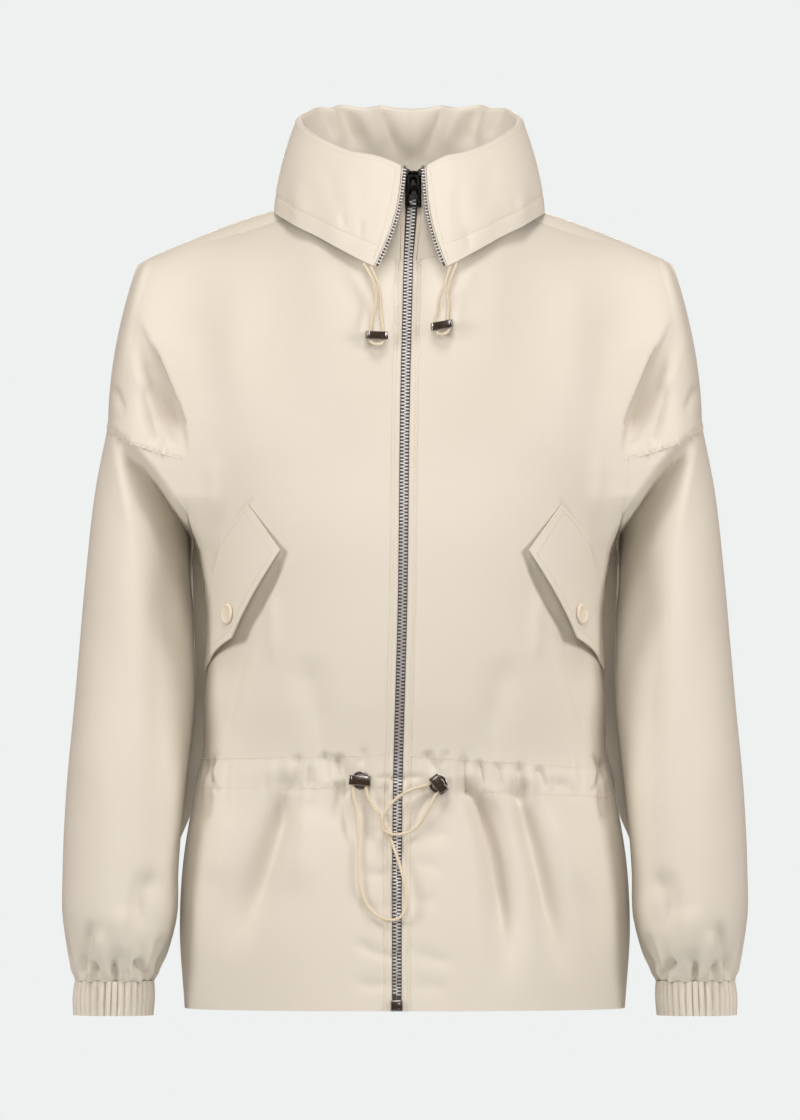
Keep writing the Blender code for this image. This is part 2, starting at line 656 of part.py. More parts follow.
def collar_rows(at):
    """Rows of the half collar: up the stand, over the fold and down the leaf to its puckered edge."""
    neck = neck_points(at)
    fold, edge = read_points(COLLAR_FOLD, "x y z", at), read_points(COLLAR_LEAF, "x y z", at)
    out = unit((edge - neck) * np.array((1, 1, 0)))
    out[0] = (0, -1, 0)
    tight = window(at - 0.5, NECK_TIGHT)[:, None]
    neck = neck + (SEAM_GAP + NECK_GAP * tight) * unit(fold - neck) - NECK_INSET * tight * out
    up = np.array((0, 0, 1.0))
    puckers = COLLAR_PUCKER_DEPTH * np.sin(2 * math.pi * COLLAR_PUCKERS * at)[:, None] * out
    inside, outside = fold - FOLD_RADIUS * out, fold + FOLD_RADIUS * out
    rows = [neck + (inside - neck) * share for share in STAND_SHARES]
    rows += [fold + FOLD_RADIUS * (up * math.sin(angle) - out * math.cos(angle))
             for angle in np.radians(FOLD_ANGLES)]
    for share in LEAF_SHARES:
        pucker_share = window(share - PUCKER_AT, PUCKER_REACH)
        bulge = LEAF_BULGE * math.sin(math.pi * share) * out + puckers * pucker_share
        flare = LEAF_FLARE * math.sin(math.pi * min(share / FLARE_LOW, 1)) * window(at, FLARE_REACH)
        rows.append(outside + (edge - outside) * share + bulge + flare[:, None] * np.array((1, 0, 0)))
    return rows


def whole_collar_rows():
    """Rows of the whole collar, from the left front edge round the back to the right."""
    at = collar_ats()
    plain, puckered = collar_rows(at), collar_rows(np.linspace(0, 1, 2 * len(at) - 1))
    rows = []
    shifts = np.minimum(np.arange(len(plain)) / (len(STAND_SHARES) - 1), 1)
    for row, shift in zip(plain[:-PUCKERED_ROWS] + puckered[-PUCKERED_ROWS:], shifts):
        mirrored = row[:-1][::-1] * np.array((-1, 1, 1))
        whole = np.concatenate([row, mirrored])
        whole[:, 0] += COLLAR_SHIFT * shift
        rows.append(lean(whole, COLLAR_LEAN_FADE))
    return rows


def make_collar(coat):
    coat.sheet("collar", lambda bm: rows_faces(bm, whole_collar_rows()), "cloth", DOUBLE_CLOTH)


# Zip
def front_edge(side):
    """Line of the front edge: up the front panel, up the stand, over the fold and down the leaf."""
    panel = np.array([row[0] for row in half_panel(-1, side)])[::-1]
    collar = np.array([row[0 if side > 0 else -1] for row in whole_collar_rows()])
    return panel, collar


def make_tape(coat, name, side):
    """Zip tape beside the front edge: it meets its twin at the centre up to the slider and parts above it."""
    panel, collar = front_edge(side)
    edge, twin = np.concatenate([panel, collar]), np.concatenate(front_edge(-side))
    outer = edge + np.array((-side * (SEAM_GAP + CLOTH / 4), 0, 0))
    closed_rows = len(panel) + len(STAND_SHARES) - 1
    parted = np.clip((np.arange(len(edge)) - closed_rows + 1) / 2, 0, 1)
    closed_x = (edge[:, 0] + twin[:, 0] + side * SEAM_GAP) / 2
    inner = outer.copy()
    inner[:, 0] = closed_x * (1 - parted) + (outer[:, 0] - side * TAPE_WIDTH) * parted
    coat.sheet(name, lambda bm: strip(bm, place(bm, outer), place(bm, inner)), "tape", TAPE)


def boxy(size, bevel):
    """Mesh of a box with rounded edges, centred on its own origin."""
    mesh = bpy.data.meshes.new("box")
    bm = bmesh.new()
    bmesh.ops.create_cube(bm, size=1, matrix=Matrix.Diagonal((*size, 1)))
    bmesh.ops.bevel(bm, geom=bm.edges[:], offset=bevel, segments=1, profile=0.5, affect="EDGES")
    bm.to_mesh(mesh)
    bm.free()
    return mesh


def rod(radius, length, sides):
    """Mesh of a cylinder along Z, centred on its own origin."""
    mesh = bpy.data.meshes.new("rod")
    bm = bmesh.new()
    bmesh.ops.create_cone(bm, cap_ends=True, segments=sides, radius1=radius, radius2=radius, depth=length)
    bm.to_mesh(mesh)
    bm.free()
    return mesh


def combine(coat, part, mesh, place_at, operation):
    """Cuts a helper mesh from a part, or joins it on."""
    helper = coat.cutter(part.name + "_helper", mesh)
    helper.matrix_world = place_at
    boolean = part.modifiers.new(operation.lower(), "BOOLEAN")
    boolean.operation = operation
    boolean.object = helper


def at_point(x, y, z):
    return Matrix.Translation(Vector((x, y, z)))


def slider_frame():
    """Place of the slider's middle, at the top of the closed zip, leaning back with the stand."""
    rows = whole_collar_rows()
    foot, top = ((rows[k][0] + rows[k][-1]) / 2 for k in (0, len(STAND_SHARES) - 1))
    x, y, z = foot + (top - foot) * (SLIDER_Z - foot[2]) / (top[2] - foot[2])
    leaning = math.atan2(top[1] - foot[1], top[2] - foot[2])
    out = TAPE / 2 + SEAM_GAP + SLIDER_SIZE[1] / 2
    return at_point(x, y, z) @ Matrix.Rotation(-leaning, 4, "X") @ at_point(0, -out, 0)


def pivot_frame():
    """Centre of the pull's crossbar, which swings in the slider's bail."""
    return slider_frame() @ at_point(0, -SLIDER_SIZE[1] / 2 - PIVOT_OUT, PIVOT_UP)


def bail_mesh():
    """A half ring of round wire that runs back into the slider at both ends."""
    mesh = bpy.data.meshes.new("bail")
    bm = bmesh.new()
    section = np.linspace(0, 2 * math.pi, 8, endpoint=False)
    rings = []
    for angle in np.linspace(-BAIL_HALF_TURN, BAIL_HALF_TURN, 13):
        reach = BAIL_RADIUS + BAIL_WIRE * np.sin(section)
        thick = BAIL_WIRE * np.cos(section)
        ring = np.stack([thick, -reach * math.cos(angle), reach * math.sin(angle)], axis=-1)
        rings.append(place(bm, ring))
    for upper, lower in zip(rings[:-1], rings[1:]):
        strip(bm, upper, lower, closed=True)
    for end in (rings[0], rings[-1]):
        bm.faces.new(end)
    bmesh.ops.recalc_face_normals(bm, faces=bm.faces)
    bm.to_mesh(mesh)
    bm.free()
    return mesh


def make_slider(coat):
    """Slider body with the bail that holds the pull."""
    part = coat.add("zip_slider", boxy(SLIDER_SIZE, SLIDER_BEVEL), "metal")
    part.matrix_world = slider_frame()
    combine(coat, part, bail_mesh(), pivot_frame(), "UNION")


def make_pull(coat):
    """Pull tab that hangs from its crossbar: its object's origin is the joint's axis."""
    frame = pivot_frame()
    mesh = boxy(PULL_SIZE, PULL_BEVEL)
    mesh.transform(at_point(0, 0, PULL_BAR - PULL_SIZE[2] / 2))
    part = coat.add("zip_pull", mesh, "metal")
    part.matrix_world = frame
    slot_z = -PULL_BAR - PULL_SLOT[2] / 2
    combine(coat, part, boxy(PULL_SLOT, SLOT_BEVEL), frame @ at_point(0, 0, slot_z), "DIFFERENCE")
    combine(coat, part, boxy(PULL_WINDOW, WINDOW_BEVEL), frame @ at_point(0, 0, PULL_WINDOW_Z), "DIFFERENCE")


def make_zip_box(coat):
    """Retainer box at the foot of the zip."""
    z = HEM_Z + ZIP_BOX_SIZE[2] / 2 + ZIP_BOX_RISE
    edge = torso_points(np.array([0.0]), z, -1)[0]
    part = coat.add("zip_box", boxy(ZIP_BOX_SIZE, ZIP_BOX_BEVEL), "metal")
    part.location = (read(LEAN, "x", z), edge[1] - TAPE / 2 - SEAM_GAP - ZIP_BOX_SIZE[1] / 2, z)


# Pocket flaps and snaps
def flap_grid(side):
    """Rows of flap points from the sewn edge to the free edge, standing off the front panel."""
    across, z = FLAP_CORNERS["across"], FLAP_CORNERS["z"]
    corner = [np.array(pair) for pair in zip(across, z)]
    along = np.linspace(0, 1, FLAP_COLUMNS + 1)[:, None]
    sewn = corner[0] + (corner[1] - corner[0]) * along
    to_point = corner[2] + (corner[3] - corner[2]) * along / FLAP_POINT
    from_point = corner[3] + (corner[4] - corner[3]) * (along - FLAP_POINT) / (1 - FLAP_POINT)
    free = np.where(along < FLAP_POINT, to_point, from_point)
    open_share = np.sin(math.pi * np.clip(along[:, 0] * FLAP_SPREAD, 0, 1))
    grid = []
    for share in np.linspace(0, 1, FLAP_ROWS + 1):
        flat = sewn + (free - sewn) * share
        lift = FLAP_BASE + FLAP_LIFT * share**FLAP_CURL * open_share
        grid.append(np.array([front_point(a, h, side, rise) for (a, h), rise in zip(flat, lift)]))
    return grid


def front_point(across, z, side, lift):
    """Point off the front panel at an unrolled place, moved out by lift."""
    point = torso_points(np.array([across]), z, -1, side, lift)
    return lean(point * np.array((side, 1, 1)))[0]


def make_flap(coat, name, side):
    coat.sheet(name, lambda bm: rows_faces(bm, flap_grid(side)), "cloth", DOUBLE_CLOTH)


def snap_frame(side):
    """Place and outward direction of the snap, near the flap's point."""
    grid = flap_grid(side)
    row, column = FLAP_ROWS - 1, FLAP_COLUMNS // 2
    centre = grid[row][column]
    across = grid[row][column + 1] - grid[row][column - 1]
    down = grid[row + 1][column] - grid[row - 1][column]
    outward = Vector(np.cross(across, down))
    outward.normalize()
    if outward.y > 0:
        outward = -outward
    return Vector(centre), outward


def make_snap(coat, name, side):
    centre, outward = snap_frame(side)
    part = coat.add(name, rod(SNAP_DIAMETER / 2, SNAP_THICKNESS, SNAP_SIDES), "snap")
    middle = centre + outward * (DOUBLE_CLOTH / 2 + SNAP_SEAT + SNAP_THICKNESS / 2)
    part.matrix_world = Matrix.Translation(middle) @ outward.to_track_quat("Z", "Y").to_matrix().to_4x4()
    rim = part.modifiers.new("rim", "BEVEL")
    rim.width = SNAP_RIM
    rim.segments = 1


# Cord stoppers on the front, collar then waist, right then left of the wearer: place, size, turn in degrees
# and stand-off
STOPPERS = table("x z size_x size_y size_z turn off", [
    (-0.0245, -0.0975, 0.0176, 0.0066, 0.0062, 2, 0.0080),
    (0.0310, -0.0895, 0.0176, 0.0066, 0.0062, -10, 0.0080),
    (-0.0350, -0.4510, 0.0170, 0.0066, 0.0080, 4, 0.0068),
    (0.0262, -0.4540, 0.0160, 0.0066, 0.0080, 52, 0.0068),
])
HOLE_SPACING = 0.0105
LOOP_ROUNDNESS = 0.7
LOOP_ANGLES = (50, 130)
LOOP_DROP = 0.0008
CORD_STEP = 3 * CORD_DIAMETER
LEAF_EXIT_DROP = 0.0018
LEAF_EXITS = {"outer": 0.65, "inner": 0.20}
# Free parts of the cords seen from the front, with their stand-off from the cloth in millimetres
COLLAR_STRANDS = {
    -1: {"outer": [(-0.0240, -0.0580, 14), (-0.0230, -0.0690, 11), (-0.0256, -0.0810, 8.5)],
         "inner": [(-0.0208, -0.0580, 14), (-0.0194, -0.0690, 11), (-0.0190, -0.0810, 8.5)]},
    1: {"outer": [(0.0352, -0.0570, 14), (0.0338, -0.0670, 11), (0.0345, -0.0770, 8.5)],
        "inner": [(0.0312, -0.0570, 14), (0.0274, -0.0670, 11), (0.0258, -0.0770, 8.5)]},
}
WAIST_LOOPS = {
    -1: [(-0.0376, -0.4800, 5.0), (-0.0368, -0.5000, 3.5), (-0.0366, -0.5200, 3.5), (-0.0350, -0.5370, 3.5),
         (-0.0290, -0.5510, 4.0), (-0.0190, -0.5595, 5.0), (-0.0080, -0.5612, 6.0), (-0.0010, -0.5560, 6.5),
         (0.0008, -0.5450, 6.5), (-0.0010, -0.5300, 6.5), (-0.0055, -0.5140, 6.0), (-0.0110, -0.4985, 5.5),
         (-0.0175, -0.4830, 5.5)],
    1: [(0.0030, -0.4590, 9.5), (-0.0065, -0.4650, 9.5), (-0.0140, -0.4735, 9.5), (-0.0180, -0.4830, 9.5),
        (-0.0165, -0.4905, 9.5), (-0.0105, -0.4935, 9.0), (-0.0020, -0.4932, 8.0), (0.0065, -0.4900, 6.0),
        (0.0130, -0.4835, 5.5), (0.0180, -0.4745, 7.0)],
}


def chest_y(x, z):
    """Depth of the front cloth at a place seen from the front."""
    side = 1 if x >= 0 else -1
    away = max(abs(x) - ZIP_HALF_WIDTH, 0)
    if z < ARMHOLE_Z:
        return front_point(away, z, side, 0)[1]
    share = np.linspace(0, 1, 81)
    column = np.array([row[0] for row in yoke_rows(-1, np.array([min(away / CHEST_SPAN, 1)]), share)])
    return float(np.interp(-z, -column[:, 2], column[:, 1]))


def off_cloth(route):
    """Points in space for places seen from the front and their stand-off."""
    return [(x, chest_y(x, z) - off / 1000, z) for x, z, off in route]


def stopper_row(place_name, side):
    return (0 if place_name == "collar" else 2) + (1 if side > 0 else 0)


def cloth_frame(x, z, off):
    """Frame that stands off the front cloth by off, with its -Y straight out of the cloth."""
    step = 0.004
    slope = (chest_y(x + step, z) - chest_y(x - step, z)) / (2 * step)
    return at_point(x, chest_y(x, z), z) @ Matrix.Rotation(math.atan(slope), 4, "Z") @ at_point(0, -off, 0)


def stopper_frame(row):
    turn = Matrix.Rotation(math.radians(STOPPERS["turn"][row]), 4, "Y")
    return cloth_frame(STOPPERS["x"][row], STOPPERS["z"][row], STOPPERS["off"][row]) @ turn


def by_hole(row, hole, drops):
    """Points on the line of one of a stopper's holes (-1 or 1), at distances below the stopper's middle."""
    frame = stopper_frame(row)
    return [tuple(frame @ Vector((hole * HOLE_SPACING / 2, 0, -drop))) for drop in drops]


def leaf_exit(side, strand):
    """Where a strand leaves the front corner of the collar's leaf, just under its edge."""
    edge = whole_collar_rows()[-1]
    corner, beside = (edge[0], edge[1]) if side > 0 else (edge[-1], edge[-2])
    return [tuple(corner + (beside - corner) * LEAF_EXITS[strand] - np.array((0, 0, LEAF_EXIT_DROP)))]


def collar_cord_route(side):
    """Down one strand, through the stopper, round the small loop under it and up the other strand."""
    row = stopper_row("collar", side)
    half = STOPPERS["size_z"][row] / 2
    radius = HOLE_SPACING / 2
    frame = stopper_frame(row)
    loop = []
    for angle in np.radians(LOOP_ANGLES):
        drop = LOOP_ROUNDNESS * radius * math.sin(angle)
        below = Vector((side * radius * math.cos(angle), -drop, -half - LOOP_DROP - drop))
        loop.append(tuple(frame @ below))
    through = (-half - 2 * LOOP_DROP, half + LOOP_DROP)
    outer, inner = (leaf_exit(side, strand) + off_cloth(COLLAR_STRANDS[side][strand])
                    for strand in ("outer", "inner"))
    return outer + by_hole(row, side, through) + loop + by_hole(row, -side, through)[::-1] + inner[::-1]


def waist_cord_route(side):
    """Out of one hole of the waist stopper, round the hanging loop and back into the other."""
    row = stopper_row("waist", side)
    drops = (0, STOPPERS["size_z"][row] / 2 + 2 * LOOP_DROP)
    return by_hole(row, -1, drops) + off_cloth(WAIST_LOOPS[side]) + by_hole(row, 1, drops)[::-1]


def cord_line(route):
    """Points along a smooth curve through the route's own points, no further apart than the step."""
    points = np.array(route)
    along = np.concatenate([[0], np.cumsum(np.linalg.norm(np.diff(points, axis=0), axis=1))])
    at = [along[-1:]]
    for start, end in zip(along[:-1], along[1:]):
        count = max(round((end - start) / CORD_STEP), 1)
        at.append(np.linspace(start, end, count, endpoint=False))
    return spline(along, points, np.sort(np.concatenate(at)))


def make_cord(coat, name, route):
    """A thin tube along a smooth curve through the route."""
    line = cord_line(route)
    curve = bpy.data.curves.new(name, "CURVE")
    curve.dimensions = "3D"
    curve.bevel_depth = CORD_DIAMETER / 2
    curve.bevel_resolution = 2
    curve.use_fill_caps = True
    path = curve.splines.new("POLY")
    path.points.add(len(line) - 1)
    for point, place_at in zip(path.points, line):
        point.co = (*place_at, 1)
    coat.add(name, curve, "cord")


def make_stopper(coat, name, row):
    """Metal cord stopper with two holes for the cord's strands."""
    size = [STOPPERS[f"size_{axis}"][row] for axis in "xyz"]
    part = coat.add(name, boxy(size, STOPPER_BEVEL), "metal")
    part.matrix_world = stopper_frame(row)
    for hole in (-1, 1):
        drill = rod(CORD_HOLE / 2, 4 * size[2], DRILL_SIDES)
        combine(coat, part, drill, stopper_frame(row) @ at_point(hole * HOLE_SPACING / 2, 0, 0), "DIFFERENCE")


def make_eyelet(coat, name, row):
    """Metal eyelet ring on the front, behind the waist stopper."""
    x, z = STOPPERS["x"][row], STOPPERS["z"][row]
    mesh = bpy.data.meshes.new(name)
    bm = bmesh.new()
    section = np.linspace(0, 2 * math.pi, 6, endpoint=False)
    rings = []
    for turn in np.linspace(0, 2 * math.pi, 14, endpoint=False):
        reach = EYELET_RADIUS + EYELET_WIRE * np.cos(section)
        flat = EYELET_FLATNESS * EYELET_WIRE * np.sin(section)
        rings.append(place(bm, np.stack([reach * math.cos(turn), flat, reach * math.sin(turn)], axis=-1)))
    for upper, lower in zip(rings, rings[1:] + rings[:1]):
        strip(bm, upper, lower, closed=True)
    bmesh.ops.recalc_face_normals(bm, faces=bm.faces)
    bm.to_mesh(mesh)
    bm.free()
    mesh.shade_smooth()
    part = coat.add(name, mesh, "metal")
    part.matrix_world = cloth_frame(x, z, CLOTH / 2 + 2 * SEAM_GAP + EYELET_WIRE)


def clear_scene():
    for leftover in list(bpy.data.objects):
        bpy.data.objects.remove(leftover)


def main():
    clear_scene()
    coat = Coat()
    make_back(coat)
    make_collar(coat)
    make_slider(coat)
    make_pull(coat)
    make_zip_box(coat)
    for side, word in ((1, "left"), (-1, "right")):
        make_front(coat, f"front_{word}", side)
        make_sleeve(coat, f"sleeve_{word}", side)
        make_cuff(coat, f"cuff_{word}", side)
        make_tape(coat, f"zip_tape_{word}", side)
        make_flap(coat, f"pocket_flap_{word}", side)
        make_snap(coat, f"snap_{word}", side)
        make_cord(coat, f"collar_cord_{word}", collar_cord_route(side))
        make_stopper(coat, f"collar_stopper_{word}", stopper_row("collar", side))
        make_cord(coat, f"waist_cord_{word}", waist_cord_route(side))
        make_stopper(coat, f"waist_stopper_{word}", stopper_row("waist", side))
        make_eyelet(coat, f"waist_eyelet_{word}", stopper_row("waist", side))


main()
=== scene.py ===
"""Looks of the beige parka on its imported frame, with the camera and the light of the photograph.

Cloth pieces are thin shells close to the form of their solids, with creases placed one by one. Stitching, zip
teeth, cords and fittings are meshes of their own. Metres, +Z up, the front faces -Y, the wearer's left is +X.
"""
import math

import bmesh
import bpy
import numpy as np
from mathutils import Matrix, Vector


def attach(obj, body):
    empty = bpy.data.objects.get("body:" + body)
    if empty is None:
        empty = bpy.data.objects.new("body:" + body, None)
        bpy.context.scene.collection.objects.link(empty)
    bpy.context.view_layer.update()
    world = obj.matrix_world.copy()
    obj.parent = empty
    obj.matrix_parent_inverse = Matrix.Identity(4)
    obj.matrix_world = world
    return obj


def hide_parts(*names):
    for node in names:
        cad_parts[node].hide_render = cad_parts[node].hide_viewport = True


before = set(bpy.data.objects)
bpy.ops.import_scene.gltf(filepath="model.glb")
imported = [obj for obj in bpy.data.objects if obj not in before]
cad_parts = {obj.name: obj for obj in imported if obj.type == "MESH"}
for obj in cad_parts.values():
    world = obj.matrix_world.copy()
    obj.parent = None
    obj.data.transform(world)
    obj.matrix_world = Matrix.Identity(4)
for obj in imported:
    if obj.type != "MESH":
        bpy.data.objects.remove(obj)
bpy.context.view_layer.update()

SIDES = {"left": 1, "right": -1}
RIGHT_ANGLE = math.pi / 2
MM_PER_METRE = 1000
TINY = 1e-9
UPRIGHT = Matrix.Rotation(RIGHT_ANGLE, 4, "X")

# The photograph: metres for each pixel, the pixel of the origin, and its size
PIXEL = 0.0008
ORIGIN_PX, ORIGIN_PY = 405.0, 215.0
PHOTO_SIZE = (800, 1120)

# Heights of the main lines
ARMHOLE_Z = -0.196
UNDERARM_Z = -0.256
WAIST_Z = -0.450
HEM_Z = -0.634
CUFF_TOP_Z = -0.612
CUFF_LOW_Z = -0.639

# Thickness of the cloth and the zip tape, the angle from which rims stay crisp, and half the zip's opening
CLOTH = 0.0009
DOUBLE_CLOTH = 0.0014
TAPE = 0.0006
EDGE_ANGLE = 60
ZIP_HALF_WIDTH = 0.0065


def table(columns, rows):
    """Named columns of numbers from a short list of rows."""
    return dict(zip(columns.split(), np.array(rows, float).T))


# Half sections of the body below the armholes: half width, and depth before and behind the side seams
TORSO = table("z half_width front back", [
    (-0.634, 0.1755, 0.130, 0.128),
    (-0.568, 0.1795, 0.127, 0.124),
    (-0.520, 0.1770, 0.121, 0.117),
    (-0.470, 0.1690, 0.113, 0.107),
    (-0.440, 0.1625, 0.111, 0.104),
    (-0.388, 0.1600, 0.117, 0.108),
    (-0.308, 0.1575, 0.122, 0.113),
    (-0.256, 0.1690, 0.122, 0.115),
    (-0.196, 0.1880, 0.117, 0.110),
])
RING_STEPS = 361
SQUARENESS = 2.3
ZIP_SPREAD = 0.05
CHEST_SLOPE = 0.15
CHEST_FADE = (0.45, 0.72)
SLOPE_STEP = 0.004

# The front closure leans a little to the wearer's right on its way down
LEAN = table("z x", [
    (-0.634, -0.0066), (-0.470, -0.0060), (-0.300, -0.0018),
    (-0.150, 0.0000), (-0.040, 0.0026), (0.090, 0.0050),
])
LEAN_FADE = 0.10
COLLAR_LEAN_FADE = 0.03

# Top edge of each half front and half back, from the centre to the shoulder tip, with the slope of the cloth
FRONT_TOP = table("at x y z slope_x slope_y slope_z", [
    (0.000, 0.0065, -0.086, -0.038, 0.00, -0.05, -0.15),
    (0.160, 0.0450, -0.077, -0.028, 0.00, -0.13, -0.12),
    (0.290, 0.0770, -0.048, -0.010, 0.01, -0.17, -0.09),
    (0.375, 0.0930, -0.016, -0.002, 0.01, -0.19, -0.07),
    (0.550, 0.1320, -0.013, -0.015, 0.01, -0.17, -0.08),
    (0.750, 0.1740, -0.009, -0.026, 0.01, -0.13, -0.08),
    (0.900, 0.2000, -0.006, -0.034, 0.02, -0.11, -0.04),
    (0.950, 0.2070, -0.005, -0.037, 0.02, -0.10, -0.02),
    (1.000, 0.2140, -0.004, -0.040, 0.03, 0.00, -0.09),
])
BACK_TOP = table("at x y z slope_x slope_y slope_z", [
    (0.000, 0.0000, 0.078, 0.012, 0.00, 0.05, -0.15),
    (0.130, 0.0360, 0.073, 0.011, 0.00, 0.06, -0.14),
    (0.260, 0.0700, 0.045, 0.009, 0.01, 0.10, -0.02),
    (0.375, 0.0930, -0.016, -0.002, 0.01, 0.17, 0.16),
    (0.550, 0.1320, -0.013, -0.015, 0.01, 0.17, 0.16),
    (0.750, 0.1740, -0.009, -0.026, 0.01, 0.14, 0.09),
    (0.900, 0.2000, -0.006, -0.034, 0.02, 0.11, 0.03),
    (0.950, 0.2070, -0.005, -0.037, 0.02, 0.10, 0.02),
    (1.000, 0.2140, -0.004, -0.040, 0.03, 0.00, -0.09),
])
NECK_AT = 0.375
TORSO_AT = 0.75

# The dropped shoulder: its armhole seam runs from the valley beside the chest round to the outside of the arm
ARM_OUTSIDE = np.array((0.2370, -0.004, -0.168))
VALLEY_ANGLE = {-1: math.radians(69), 1: math.radians(67)}
CAP_BULGE = {-1: 0.024, 1: 0.026}
CAP_ROUNDNESS = 0.9
# Ripples of the cap along that seam
RIPPLE_PITCH = 0.0056
RIPPLE_DEPTH = 0.0013
RIPPLE_REACH = 0.0040
RIPPLE_FADE = 0.015
# Smoothing of a panel's rows about the corners of its edges, which fades in away from them
YOKE_SOFTNESS = 0.09
YOKE_FADE = 0.25

# How the front hangs between chest and arm, by rows of the photograph's left side: how taut the cloth is, its
# depth beside the arm and beside the chest, and how far the lower of the two lines below has taken over
# from the upper one
TAUT = table("row share arm chest lower", [
    (310, 0.0, -0.039, -0.048, 0),
    (345, 1.0, -0.051, -0.063, 0),
    (371, 1.0, -0.056, -0.071, 0),
    (405, 1.0, -0.060, -0.079, 0),
    (419, 1.0, -0.062, -0.081, 0),
    (446, 1.0, -0.064, -0.083, 1),
    (469, 1.0, -0.066, -0.083, 1),
    (497, 1.0, -0.068, -0.081, 1),
    (536, 0.8, -0.068, -0.074, 1),
    (580, 0.4, -0.060, -0.064, 1),
    (640, 0.0, -0.050, -0.057, 1),
])
# Lines that end the taut cloth, at the chest's crease and the fold under the arm, and the hollow beyond each
CHEST_LINE = table("row edge hollow_from hollow", [
    (318, 139, 112, 0.000), (345, 151, 122, 0.004), (371, 162, 132, 0.009), (405, 176, 150, 0.011),
    (419, 182, 157, 0.008), (432, 186, 162, 0.004), (456, 190, 168, 0.000),
])
ARM_LINE = table("row edge hollow_from hollow", [
    (427, 113, 106, 0.000), (440, 127, 110, 0.005), (469, 150, 116, 0.022), (497, 170, 122, 0.032),
    (536, 195, 130, 0.036), (552, 201, 133, 0.034), (620, 205, 140, 0.022), (700, 205, 146, 0.011),
    (790, 205, 150, 0.000),
])
ARM_PX, CHEST_PX, TAUT_END = 150, 222, 262
CHEST_EDGE, ARM_EDGE = 2.5, 6
DRAPE_BLEND = 0.002
HOLLOW_SPAN = 0.8
FRONT_REACH = 0.02

# Sleeve rings: centre, half width, half depth, how much lower the inner side hangs, and how far its rear
# inner side tucks in behind the body
SLEEVE = table("z x y half_width half_depth tilt tuck", [
    (-0.6117, 0.2316, -0.030, 0.0306, 0.036, 0.000, 0.000),
    (-0.6040, 0.2306, -0.030, 0.0330, 0.041, 0.000, 0.000),
    (-0.5880, 0.2292, -0.029, 0.0390, 0.050, 0.000, 0.000),
    (-0.5620, 0.2278, -0.028, 0.0450, 0.058, 0.000, 0.000),
    (-0.5240, 0.2272, -0.026, 0.0458, 0.061, 0.000, 0.012),
    (-0.4680, 0.2238, -0.022, 0.0468, 0.064, 0.000, 0.033),
    (-0.3880, 0.2156, -0.014, 0.0470, 0.067, 0.006, 0.037),
    (-0.3080, 0.2118, -0.007, 0.0432, 0.067, 0.018, 0.036),
    (-0.2500, 0.2085, -0.003, 0.0380, 0.063, 0.034, 0.030),
])
SLEEVE_ROUNDNESS = 0.92
TUCK_SHARPNESS = 5
TUCK_PEAK = 3.86
SLEEVE_SEAM_FADE = 0.03
VALLEY_TURN = 0.66
SLEEVE_GATHERS = 14
SLEEVE_GATHER_DEPTH = 0.0030
SLEEVE_GATHER_REACH = 0.022
SLEEVE_END_FADE = 0.02
SLEEVE_END_SHARE = 0.35
# The outward direction, as its share towards the front, over which the front's creases give way to the rear's
SLEEVE_FRONT = (-0.15, 0.25)

# Gathers at the waist vary in depth: the mean, the swing about it, and the swing's pace and start
PANEL_WIDTH = 0.225
WAIST_GATHERS = 17
WAIST_GATHER_DEPTH = {-1: 0.0007, 1: 0.0016}
WAIST_GATHER_REACH = 0.018
GATHER_MEAN = 0.65
GATHER_SWING = 0.35
GATHER_PACE = 0.37
GATHER_START = 1.3

# Cuffs: gathers with narrow valleys, uneven in width and depth
CUFF_GATHERS = 34
CUFF_COLUMNS = 8
CUFF_GATHER_DEPTH = 0.0026
CUFF_SHARPNESS = 0.6
CUFF_CENTRE = (0.2326, -0.0300)
CUFF_HALF_SIZE = (0.0302, 0.0352)
CUFF_LEAN = 0.0010
CUFF_WALL = 0.0022
CUFF_ROWS = 16
CUFF_INSIDE_STEP = 3
# The gathers drift aside in two waves and vary in depth in one, and swell by shares down the cuff
CUFF_DRIFTS = ((1.1, 3, 0.4), (0.8, 7, 1.9))
CUFF_MEAN, CUFF_SWING, CUFF_PACE, CUFF_START = 0.75, 0.25, 5, 0.7
CUFF_SWELL = {"top": 0.55, "middle": 0.45, "hem": 0.25, "inside": 0.5}
CUFF_MIDDLE_PACE = 1.1

# Collar: the ring of its fold and the ring of the leaf's edge, from the front edge round to the back
COLLAR_FOLD = table("at x y z", [
    (0.00, 0.0103, -0.0730, 0.0350), (0.12, 0.0275, -0.0700, 0.0425), (0.24, 0.0480, -0.0610, 0.0470),
    (0.40, 0.0760, -0.0360, 0.0605), (0.60, 0.0880, 0.0100, 0.0755), (0.80, 0.0620, 0.0640, 0.0845),
    (1.00, 0.0000, 0.0860, 0.0845),
])
COLLAR_LEAF = table("at x y z", [
    (0.00, 0.0295, -0.1050, -0.0425), (0.12, 0.0470, -0.0970, -0.0335), (0.24, 0.0660, -0.0820, -0.0225),
    (0.40, 0.0930, -0.0510, -0.0080), (0.60, 0.1070, 0.0100, 0.0040), (0.80, 0.0750, 0.0800, 0.0050),
    (1.00, 0.0000, 0.1040, 0.0040),
])
COLLAR_SHIFT = 0.0035
FOLD_RADIUS = 0.0027
LEAF_BULGE = 0.0030
LEAF_FLARE = -0.0045
FLARE_REACH = 0.08
COLLAR_PUCKERS = 6
COLLAR_PUCKER_DEPTH = 0.0008
PUCKER_AT = 0.8
PUCKER_REACH = 0.2
STAND_DEPTH = 0.03
FOLD_CARRY = 40
FOLD_PEAK = 0.4
CHANNEL_GROOVE = 0.0006
CHANNEL_REACH = 0.02

